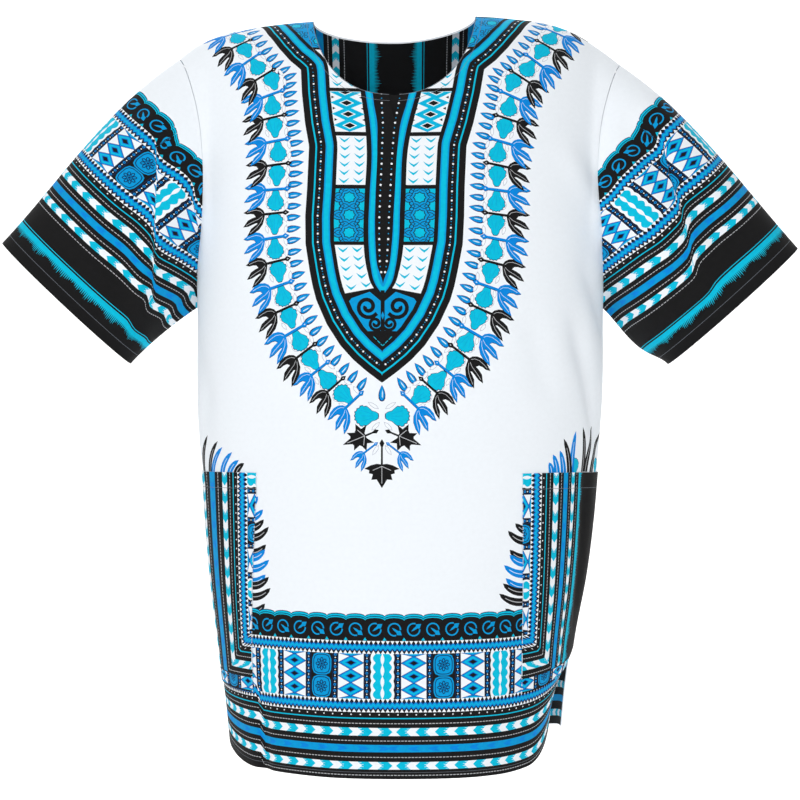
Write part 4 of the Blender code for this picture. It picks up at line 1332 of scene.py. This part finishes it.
def enclosed(points, outline):
    """Which points lie inside a closed outline."""
    x0, y0 = outline.T
    x1, y1 = np.roll(outline, -1, axis=0).T
    rise = np.where(y1 == y0, 1.0, y1 - y0)
    found = []
    for i in range(0, len(points), 8000):
        x, y = points[i : i + 8000].T[:, :, None]
        crosses = (y0 > y) != (y1 > y)
        beyond = x < x0 + (y - y0) * (x1 - x0) / rise
        found.append((crosses & beyond).sum(axis=1) % 2 == 1)
    return np.concatenate(found) if found else np.zeros(0, dtype=bool)


def triangulated(outline, holes, art, grid_step):
    """Triangles inside the outline with the ink that lies on top of each."""
    low, high = outline.min(axis=0), outline.max(axis=0)
    rows = []
    for k, v in enumerate(np.arange(low[1], high[1], grid_step * 0.87)):
        us = np.arange(low[0], high[0], grid_step) + (k % 2) * grid_step / 2
        rows.append(np.stack([us, np.full_like(us, v)], axis=1))
    grid = np.concatenate(rows)
    edge = np.concatenate([outline, *holes])
    near = np.concatenate([
        np.sqrt(((grid[i : i + 4000, None] - edge[None]) ** 2).sum(axis=2)).min(axis=1)
        for i in range(0, len(grid), 4000)
    ])
    shapes = [outline, *holes] + [points / 1000 for _, points in art.shapes]
    points = np.concatenate(shapes + [grid[near > grid_step * 0.5]])
    edges, start = [], 0
    for shape in shapes:
        count = len(shape)
        edges += [(start + i, start + (i + 1) % count) for i in range(count)]
        start += count
    found = delaunay_2d_cdt([Vector(p) for p in points], edges, [], 0, 1e-6, False)
    verts, faces = np.array([(p.x, p.y) for p in found[0]]), np.array(found[2])
    centres = verts[faces].mean(axis=1)
    inside = enclosed(centres, outline)
    for hole in holes:
        inside &= ~enclosed(centres, hole)
    faces, centres = faces[inside], centres[inside]
    order = np.argsort(centres[:, 0])
    faces, centres = faces[order], centres[order]
    colours = np.zeros(len(faces), dtype=int)
    for ink, shape in art.shapes:
        shape = shape / 1000
        low, high = shape.min(axis=0), shape.max(axis=0)
        first, last = np.searchsorted(centres[:, 0], (low[0], high[0]))
        beside = (centres[first:last, 1] > low[1]) & (centres[first:last, 1] < high[1])
        index = first + np.flatnonzero(beside)
        colours[index[enclosed(centres[index], shape)]] = INKS.index(ink)
    used, faces = np.unique(faces, return_inverse=True)
    return verts[used], faces.reshape(-1, 3), colours


def border_loops(faces):
    """The closed loops of points round the edge of a flat mesh."""
    pairs = np.concatenate([faces[:, [0, 1]], faces[:, [1, 2]], faces[:, [2, 0]]])
    count = faces.max() + 1
    open_edge = ~np.isin(pairs[:, 0] * count + pairs[:, 1], pairs[:, 1] * count + pairs[:, 0])
    follow = {int(a): int(b) for a, b in pairs[open_edge]}
    loops = []
    while follow:
        loop = [next(iter(follow))]
        while loop[-1] in follow:
            loop.append(follow.pop(loop[-1]))
        loops.append(np.array(loop[:-1]))
    return sorted(loops, key=len, reverse=True)


def under_side(top, reverse, grid_step):
    """The inner side's triangles, with its own print if it has one, and its border loops' points."""
    verts, faces, colours = top
    loops = border_loops(faces)
    if reverse is None:
        return top, loops, loops
    edges = [verts[loop] for loop in loops]
    under = triangulated(edges[0], edges[1:], reverse, grid_step * 1.2)
    firsts = np.cumsum([0] + [len(loop) for loop in loops])
    return under, loops, [np.arange(a, b) for a, b in zip(firsts[:-1], firsts[1:])]


def paint(mesh, inks, flat_points):
    """The inks' materials on their triangles, and the flat cut as the threads' own map."""
    for ink in INKS:
        mesh.materials.append(cotton(ink))
    mesh.polygons.foreach_set("material_index", inks.astype(np.int32))
    corners = np.zeros(len(mesh.loops), dtype=np.int32)
    mesh.loops.foreach_get("vertex_index", corners)
    threads = mesh.uv_layers.new(name="threads")
    threads.data.foreach_set("uv", flat_points[corners].astype(np.float32).ravel())
    return corners


def smooth_sides(mesh, normals, points, rim):
    """Smooth shading on both sides, with a sharp edge all round."""
    rim_normal = np.cross(points[rim[:, 1]] - points[rim[:, 0]], points[rim[:, 3]] - points[rim[:, 0]])
    rim_normal /= np.maximum(np.linalg.norm(rim_normal, axis=1, keepdims=True), 1e-12)
    normals[len(normals) - 4 * len(rim) :] = np.repeat(rim_normal, 4, axis=0)
    mesh.polygons.foreach_set("use_smooth", np.ones(len(mesh.polygons), dtype=bool))
    mesh.normals_split_custom_set(normals.tolist())


def cloth(name, surface, outline, art, lift=0.0, holes=(), grid_step=GRID_STEP, facing=-1, reverse=None):
    """One piece of printed cloth: a closed thin shell on its surface."""
    top = triangulated(outline, list(holes), art, grid_step)
    under, loops, under_loops = under_side(top, reverse, grid_step)
    verts, faces, colours = top
    under_verts, under_faces, under_colours = under
    count = len(verts)
    rim = np.concatenate([
        np.stack([np.roll(upper, -1), upper, lower + count, np.roll(lower, -1) + count], axis=1)
        for upper, lower in zip(loops, under_loops)
    ])
    under_faces = under_faces[:, ::-1] + count
    if facing > 0:
        faces, under_faces, rim = faces[:, ::-1], under_faces[:, ::-1], rim[:, ::-1]
    middle, out = surface.at(verts)
    under_middle, under_out = surface.at(under_verts)
    points = np.concatenate([middle + out * (lift + WALL / 2), under_middle + under_out * (lift - WALL / 2)])
    mesh = bpy.data.meshes.new(name)
    mesh.from_pydata(points.tolist(), [], faces.tolist() + under_faces.tolist() + rim.tolist())
    mesh.update()
    near = {tuple(pair): ink for pair, ink in zip(faces[:, :2].tolist(), colours.tolist())}
    rim_inks = [near.get((a, b), near.get((b, a), 0)) for b, a in rim[:, :2].tolist()]
    inks = np.concatenate([colours, under_colours, rim_inks])
    corners = paint(mesh, inks, np.concatenate([verts, under_verts]))
    smooth_sides(mesh, np.concatenate([out, -under_out])[corners], points, rim)
    piece = bpy.data.objects.new(f"printed_{name}", mesh)
    bpy.context.scene.collection.objects.link(piece)
    x, y = outline[:, 0], outline[:, 1]
    area = abs(float(np.sum(x * np.roll(y, -1) - np.roll(x, -1) * y))) / 2
    size = outline.max(axis=0) - outline.min(axis=0)
    return piece, (float(size[0]), float(size[1])), area


def settle(piece, node):
    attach(piece, "root")
    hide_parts(node)


# Materials


def linear(red, green, blue):
    """A colour given as 0 to 255 for each part, as the shader takes it."""
    parts = [c / 255 for c in (red, green, blue)]
    return tuple(c / 12.92 if c <= 0.04045 else ((c + 0.055) / 1.055) ** 2.4 for c in parts) + (1.0,)


def cotton(ink):
    """Plain-woven cotton in one ink: crossing threads and a slight unevenness of the dye."""
    name = f"cotton {ink}"
    if name in bpy.data.materials:
        return bpy.data.materials[name]
    looks = bpy.context.scene.shirt_looks
    colour = tuple(getattr(looks, ink)) + (1.0,)
    material = bpy.data.materials.new(name)
    material.use_nodes = True
    nodes, links = material.node_tree.nodes, material.node_tree.links
    shader = nodes["Principled BSDF"]
    shader.inputs["Roughness"].default_value = looks.roughness
    shader.inputs["Sheen Weight"].default_value = 0.04
    shader.inputs["Sheen Roughness"].default_value = 0.5
    shader.inputs["Specular IOR Level"].default_value = 0.12
    threads = nodes.new("ShaderNodeUVMap")
    threads.uv_map = "threads"
    dye = nodes.new("ShaderNodeTexNoise")
    dye.inputs["Scale"].default_value = 240.0
    dye.inputs["Detail"].default_value = 3.0
    links.new(threads.outputs["UV"], dye.inputs["Vector"])
    ramp = nodes.new("ShaderNodeValToRGB")
    ramp.color_ramp.elements[0].position = 0.30
    ramp.color_ramp.elements[1].position = 0.70
    spread = looks.unevenness * (0.2 if ink == "white" else 1.0)
    ramp.color_ramp.elements[0].color = tuple(c * (1 - spread) for c in colour[:3]) + (1.0,)
    ramp.color_ramp.elements[1].color = tuple(min(1.0, c * (1 + spread)) for c in colour[:3]) + (1.0,)
    links.new(dye.outputs["Fac"], ramp.inputs["Fac"])
    links.new(ramp.outputs["Color"], shader.inputs["Base Color"])
    height = None
    for direction in ("X", "Y"):
        wave = nodes.new("ShaderNodeTexWave")
        wave.bands_direction = direction
        wave.inputs["Scale"].default_value = 0.314 / looks.thread_pitch
        wave.inputs["Distortion"].default_value = 0.8
        wave.inputs["Detail"].default_value = 1.0
        links.new(threads.outputs["UV"], wave.inputs["Vector"])
        if height is None:
            height = wave.outputs["Fac"]
            continue
        crossing = nodes.new("ShaderNodeMath")
        crossing.operation = "MULTIPLY"
        links.new(height, crossing.inputs[0])
        links.new(wave.outputs["Fac"], crossing.inputs[1])
        height = crossing.outputs["Value"]
    bump = nodes.new("ShaderNodeBump")
    bump.inputs["Strength"].default_value = 0.25
    bump.inputs["Distance"].default_value = 0.0002
    links.new(height, bump.inputs["Height"])
    links.new(bump.outputs["Normal"], shader.inputs["Normal"])
    return material


# The pieces

SURFACES = {}


def surfaces():
    """The shirt's surfaces, worked out once."""
    if not SURFACES:
        front, back = Panel(-1, FRONT_FOLDS), Panel(1, BACK_FOLDS)
        SURFACES.update(front=front, back=back)
        for side, which in ((-1, "right"), (1, "left")):
            SURFACES[f"sleeve_{which}"] = Sleeve(front, back, side)
    return SURFACES


def hem_border(art, tuck):
    """The border along a hem. The print stands higher by the tuck beyond the fold at the wearer's right."""

    def place(points):
        step = tuck * smooth((-HEM_TUCK_U - points[:, 0]) / 5.0) * smooth((118.0 - points[:, 1]) / 40.0)
        return np.stack([points[:, 0], points[:, 1] + step], axis=1)

    band(art, None, "black", -PRINT_HALF, PRINT_HALF, -0.5, 12.0)
    border(art, place, -PRINT_HALF, PRINT_HALF, HEM_CENTRE, -3.0)
    art.lay("seam", stroke([(-PRINT_HALF, 6.4), (PRINT_HALF, 6.4)], 0.3))


def hem_reverse():
    """The inside of the hem. Its shapes keep off the panel's edges, which both sides share."""
    art = Print()
    for row in named_rows(REVERSE_BANDS):
        band(art, None, row["ink"], -REVERSE_HALF, REVERSE_HALF, row["low"], row["high"], 7.0)
    for low, high in (EDGE_ARROWS, INNER_ARROWS):
        arrow_chain(art, None, -REVERSE_ARROWS_HALF, REVERSE_ARROWS_HALF, low, high, ARROW_PITCH, -3.0)
    return art


def neck_trim(art, neck):
    """A fine edge and the line of stitches that holds the facing."""
    line = neck * 1000
    run = np.gradient(line, axis=0)
    run /= np.linalg.norm(run, axis=1, keepdims=True)
    down = np.stack([run[:, 1], -run[:, 0]], axis=1)
    art.lay("seam", stroke(line + down * 0.4, 0.6))
    art.lay("seam", stroke(line + down * 7.5, 0.4))


PETALS = (
    ("side", "ink", "u", "v", "tip_u", "tip_v"),
    (-1, "blue", 163, 262, 150, 272), (-1, "blue", 160, 250, 144, 259), (-1, "black", 159, 240, 143, 249),
    (-1, "black", 158, 230, 137, 242), (-1, "black", 158, 215, 140, 224), (-1, "blue", 158, 210, 141, 219),
    (-1, "blue", 158, 199, 136, 209), (-1, "blue", 157, 186, 140, 194), (-1, "black", 157, 182, 136, 192),
    (-1, "black", 157, 171, 134, 181), (-1, "black", 158, 156, 141, 165),
    (-1, "blue", 219, 290, 198, 321), (-1, "blue", 200, 290, 183, 316), (-1, "blue", 188, 291, 174, 308),
    (-1, "black", 178, 292, 167, 305), (-1, "black", 244, 294, 227, 333), (-1, "black", 226, 294, 206, 327),
    (-1, "black", 279, 292, 276, 346), (-1, "black", 264, 292, 258, 339),
    (1, "black", 134, 238, 118, 246), (1, "black", 130, 228, 110, 239), (1, "black", 130, 211, 112, 220),
    (1, "blue", 130, 206, 112, 215), (1, "blue", 129, 195, 106, 205), (1, "blue", 129, 182, 108, 192),
    (1, "black", 129, 177, 105, 187), (1, "black", 128, 167, 101, 177), (1, "black", 130, 153, 108, 162),
    (1, "black", 214, 296, 206, 342), (1, "black", 220, 296, 237, 343), (1, "black", 232, 294, 264, 338),
    (1, "blue", 189, 292, 194, 338), (1, "black", 186, 292, 176, 330), (1, "blue", 177, 292, 171, 318),
    (1, "blue", 168, 292, 162, 314), (1, "blue", 161, 292, 157, 306),
)  # fmt: skip


def petal(art, base, tip, ink):
    """A horn that leaves its base straight, curves, and ends in a point."""
    base, tip = np.array(base, float), np.array(tip, float)
    share = np.linspace(0.0, 1.0, 9)[:, None]
    reach = np.abs(tip - base)
    powers = (1.0, 2.2) if reach[0] > reach[1] * 1.2 else (2.2, 1.0)
    line = base + (tip - base) * share ** np.array(powers)
    run = np.gradient(line, axis=0)
    run /= np.linalg.norm(run, axis=1, keepdims=True)
    aside = np.stack([-run[:, 1], run[:, 0]], axis=1)
    for tone, wide, upto in ((ink, 4.6, 9), ("line" if ink == "black" else "pale", 0.45, 7)):
        swell = aside * wide * np.sqrt(1.0001 - share) * (0.85 + 0.5 * share)
        art.lay(tone, np.concatenate([(line + swell)[:upto], (line - swell)[:upto][::-1]]))


def pocket_sprays(art):
    """Petals that come out from under each pocket, towards the middle and above it."""
    bud(art, (194, 301), (0, 1), 0.9)
    bud(art, (246, 301), (0, 1), 0.9)
    bud(art, (-262, 300), (0, 1), 0.8)
    for row in named_rows(PETALS):
        u, tip_u = row["side"] * row["u"], row["side"] * row["tip_u"]
        petal(art, (u, row["v"]), (tip_u, row["tip_v"]), row["ink"])


def body_piece(which, depth_z):
    panel = surfaces()[which]
    neck = neck_line(panel, depth_z)
    art = Print()
    for side in (-1, 1):
        side_flowers(art, side)
    tip_flowers(art)
    yoke(art)
    if which == "front":
        pocket_sprays(art)
    hem_border(art, HEM_TUCK if which == "front" else 0.0)
    neck_trim(art, neck)
    holes = [slit_outline(neck[len(neck) // 2, 1])] if which == "front" else []
    outline = body_outline(panel, neck)
    piece, flat, area = cloth(
        which, panel, outline, art, holes=holes, facing=panel.facing, reverse=hem_reverse()
    )
    settle(piece, which)


def pocket_piece(side, which):
    """A pocket cut from the border, its stripes upright and turned in at the lower inner corner."""
    panel = surfaces()["front"]
    depths, us = np.array(POCKET_ACROSS[side][1:], float).T

    def place(points):
        s, t = points[:, 0], points[:, 1]
        u = np.interp(t, depths, us)
        turned_in = np.minimum(s - t, 0.0)
        return np.stack([side * (u + turned_in), POCKET_RISE + np.maximum(s, t)], axis=1)

    def below(points):
        return np.stack([points[:, 0], np.minimum(points[:, 1], POCKET_LOW_BAND)], axis=1)

    art = Print()
    low, high = -90.0, 300.0
    stripes(art, place, low, high, 10.0)
    if side > 0:
        band(art, place, "black", low, high, -72.0, 0.0)
        brush(art, place, low, high, -1.0, -4.5)
        art.lay("cyan", [(150, -60), (280, -60), (280, -72), (150, -72)], place)
    main_band(art, place, low, high, 77.0, 120.0, 122.0, 113.0)
    main_band(art, below, -PRINT_HALF, PRINT_HALF, *MAIN_BAND, HEM_CENTRE, COLUMN_PERIOD)
    art.lay("black", stroke([(side * 120, POCKET_LOW_BAND + 0.3), (side * 281, POCKET_LOW_BAND + 0.3)], 1.2))
    hem = panel.v_at(0.2, POCKET_TOP_Z) * 1000 - 16
    art.lay("seam", stroke([(side * 90, hem), (side * 281, hem)], 0.4))
    name = f"pocket_{which}"
    outline = pocket_outline(panel, side)
    piece, flat, area = cloth(name, panel, outline, art, lift=LAYER_STEP, grid_step=FINE_GRID_STEP)
    settle(piece, name)


SLEEVE_TUCKS = (
    ("side", "u0", "v0", "u1", "v1", "u2", "v2", "hidden", "step"),
    (-1, 178.0, 72.0, 132.0, 127.0, 74.0, 188.0, 25.0, 13.0),
    (-1, 214.0, 110.0, 192.0, 136.0, 128.0, 184.0, 5.0, 9.0),
    (1, 122.0, 66.0, 92.0, 123.0, 56.0, 180.0, 22.0, 12.0),
)


def sleeve_piece(side, which):
    name = f"sleeve_{which}"
    sleeve = surfaces()[name]
    art = Print()
    half = sleeve.width * 500 + 6
    tucks = [row for row in named_rows(SLEEVE_TUCKS) if row["side"] == side]

    def place(points):
        u, v = points[:, 0].copy(), points[:, 1] + 55.0
        for tuck in tucks:
            line = np.interp(v, (tuck["v0"], tuck["v1"], tuck["v2"]), (tuck["u0"], tuck["u1"], tuck["u2"]))
            depth = tuck["hidden"] * smooth((v - 15.0) / 70.0)
            past = u - line
            u = np.where(past > 0, line + np.where(past < depth, past * 0.05, past - depth * 0.95), u)
            aside = u - line
            v = v - tuck["step"] / 2 * smooth(v / 70.0) * np.tanh(aside / 6.5) * np.exp(-np.abs(aside) / 50.0)
        return np.stack([u, v], axis=1)

    border(art, place, -half, half + 60.0, 22.0, 0.0)
    fringe(art, place, -half, half + 60.0)
    art.lay("seam", stroke([(-half, 12.0), (half, 12.0)], 0.4))
    piece, flat, area = cloth(name, sleeve, sleeve.outline(), art, grid_step=FINE_GRID_STEP, facing=side)
    settle(piece, name)


def facing_stripes(art, side):
    """The border's stripes, upright on one half of a neck facing."""

    def place(points):
        u = side * (np.clip(points[:, 1] + 51.7, 0, None) * 1.04) - 5.0
        return np.stack([u, points[:, 0]], axis=1)

    stripes(art, place, 640.0, 830.0, 900.0)
    fringe(art, place, 640.0, 830.0)


def facing_piece(which, depth_z):
    panel = surfaces()[which]
    neck = neck_line(panel, depth_z)
    art = Print()
    for side in (-1, 1):
        facing_stripes(art, side)
    name = f"neck_facing_{which}"
    outline = facing_outline(panel, neck)
    piece, flat, area = cloth(
        name, panel, outline, art, lift=-LAYER_STEP, grid_step=FINE_GRID_STEP, facing=panel.facing
    )
    settle(piece, name)


def ink_property(name, description, red, green, blue):
    colour = linear(red, green, blue)[:3]
    return FloatVectorProperty(
        name=name, description=description, subtype="COLOR", default=colour, min=0, max=1
    )


class ShirtLooks(bpy.types.PropertyGroup):
    """What a user would change: the inks, the threads and the surface."""

    white: ink_property("White ground", "The unprinted cloth", 240, 245, 250)
    black: ink_property("Black", "The black ink", 22, 22, 23)
    cyan: ink_property("Cyan", "The lightest blue", 0, 188, 220)
    azure: ink_property("Azure", "The ribbon blue", 0, 152, 214)
    blue: ink_property("Blue", "The flower blue", 0, 134, 220)
    deep: ink_property("Deep blue", "Dark outlines", 6, 44, 92)
    pale: ink_property("Pale blue", "Fine light lines", 206, 228, 246)
    line: ink_property("Line", "Thin light lines on black", 190, 192, 196)
    seam: ink_property("Seam", "Stitches", 110, 116, 124)
    shade: ink_property("Outline", "Thin grey leaf outlines", 176, 180, 196)
    roughness: FloatProperty(
        name="Roughness", description="How matt the cotton is", default=0.85, min=0, max=1
    )
    unevenness: FloatProperty(
        name="Unevenness", description="How much the dye varies", default=0.06, min=0, max=1
    )
    thread_pitch: FloatProperty(
        name="Thread pitch",
        description="From one thread to the next",
        default=0.0006,
        min=0.0002,
        unit="LENGTH",
    )


class SHIRT_OT_body(bpy.types.Operator):
    """Lay the printed front and back"""

    bl_idname = "shirt.body"
    bl_label = "Front and back"

    def execute(self, context):
        body_piece("front", FRONT_NECK_Z)
        body_piece("back", BACK_NECK_Z)
        return {"FINISHED"}


class SHIRT_OT_sleeves(bpy.types.Operator):
    """Lay the two sleeves with their cuffs' border"""

    bl_idname = "shirt.sleeves"
    bl_label = "Sleeves"

    def execute(self, context):
        sleeve_piece(-1, "right")
        sleeve_piece(1, "left")
        return {"FINISHED"}


class SHIRT_OT_pockets(bpy.types.Operator):
    """Lay the two patch pockets"""

    bl_idname = "shirt.pockets"
    bl_label = "Pockets"

    def execute(self, context):
        pocket_piece(-1, "right")
        pocket_piece(1, "left")
        return {"FINISHED"}


class SHIRT_OT_facings(bpy.types.Operator):
    """Lay the facings inside the neck"""

    bl_idname = "shirt.facings"
    bl_label = "Neck facings"

    def execute(self, context):
        facing_piece("front", FRONT_NECK_Z)
        facing_piece("back", BACK_NECK_Z)
        return {"FINISHED"}


class SHIRT_OT_stage(bpy.types.Operator):
    """Set up the floor, the backdrop, the lights and the camera"""

    bl_idname = "shirt.stage"
    bl_label = "Stage"

    def execute(self, context):
        make_sweep()
        make_lights()
        make_camera()
        return {"FINISHED"}


class SHIRT_PT_panel(bpy.types.Panel):
    bl_label = "Dashiki shirt"
    bl_idname = "SHIRT_PT_panel"
    bl_space_type = "VIEW_3D"
    bl_region_type = "UI"
    bl_category = "Dashiki"

    def draw(self, context):
        for name in ShirtLooks.__annotations__:
            self.layout.prop(context.scene.shirt_looks, name)
        for operator in OPERATORS:
            self.layout.operator(operator.bl_idname)


OPERATORS = (SHIRT_OT_body, SHIRT_OT_sleeves, SHIRT_OT_pockets, SHIRT_OT_facings, SHIRT_OT_stage)
CLASSES = (ShirtLooks, *OPERATORS, SHIRT_PT_panel)


def make_sweep():
    """A pale floor that sweeps up into a backdrop."""
    profile = [(SWEEP_FRONT, 0.0), (SWEEP_BACK, 0.0)]
    for angle in np.linspace(0.15, math.pi / 2, 12):
        across_floor, up = math.sin(angle), 1 - math.cos(angle)
        profile.append((SWEEP_BACK + SWEEP_RADIUS * across_floor, SWEEP_RADIUS * up))
    profile.append((SWEEP_BACK + SWEEP_RADIUS, SWEEP_HEIGHT))
    points = [(x, y, FLOOR_Z + z) for x in (-SWEEP_HALF, SWEEP_HALF) for y, z in profile]
    count = len(profile)
    faces = [(count + k, count + k + 1, k + 1, k) for k in range(count - 1)]
    mesh = bpy.data.meshes.new("studio sweep")
    mesh.from_pydata(points, [], faces)
    mesh.update()
    material = bpy.data.materials.new("studio paper")
    material.use_nodes = True
    shader = material.node_tree.nodes["Principled BSDF"]
    shader.inputs["Base Color"].default_value = (0.95, 0.95, 0.95, 1.0)
    shader.inputs["Roughness"].default_value = 0.9
    mesh.materials.append(material)
    for polygon in mesh.polygons:
        polygon.use_smooth = True
    sweep = bpy.data.objects.new("studio_sweep", mesh)
    bpy.context.scene.collection.objects.link(sweep)


def make_lights():
    """An even white surrounding, two soft lights from the front, and one on the backdrop."""
    world = bpy.data.worlds.new("studio")
    world.use_nodes = True
    world.node_tree.nodes["Background"].inputs["Color"].default_value = (1.0, 1.0, 1.0, 1.0)
    world.node_tree.nodes["Background"].inputs["Strength"].default_value = WORLD_LIGHT
    bpy.context.scene.world = world
    for row in named_rows(LIGHTS):
        lamp = bpy.data.lights.new(row["name"], "AREA")
        lamp.energy, lamp.size = row["power"], row["size"]
        light = bpy.data.objects.new(row["name"], lamp)
        light.location = row["place"]
        way = Vector(row["aim"]) - Vector(row["place"])
        light.rotation_euler = way.to_track_quat("-Z", "Y").to_euler()
        bpy.context.scene.collection.objects.link(light)


def make_camera():
    """The camera straight in front, as the photo has it."""
    lens = bpy.data.cameras.new("photo camera")
    lens.lens, lens.sensor_width, lens.sensor_fit = CAMERA_LENS, CAMERA_SENSOR, "HORIZONTAL"
    camera = bpy.data.objects.new("photo_camera", lens)
    camera.location = CAMERA_PLACE
    camera.rotation_euler = (math.pi / 2, 0.0, 0.0)
    bpy.context.scene.collection.objects.link(camera)
    bpy.context.scene.camera = camera
    bpy.context.scene.view_settings.view_transform = "Standard"


def register():
    for cls in CLASSES:
        bpy.utils.register_class(cls)
    bpy.types.Scene.shirt_looks = PointerProperty(type=ShirtLooks)


def unregister():
    del bpy.types.Scene.shirt_looks
    for cls in reversed(CLASSES):
        bpy.utils.unregister_class(cls)


def main():
    register()
    for operator in OPERATORS:
        group, name = operator.bl_idname.split(".")
        getattr(getattr(bpy.ops, group), name)()


if __name__ == "__main__":
    main()
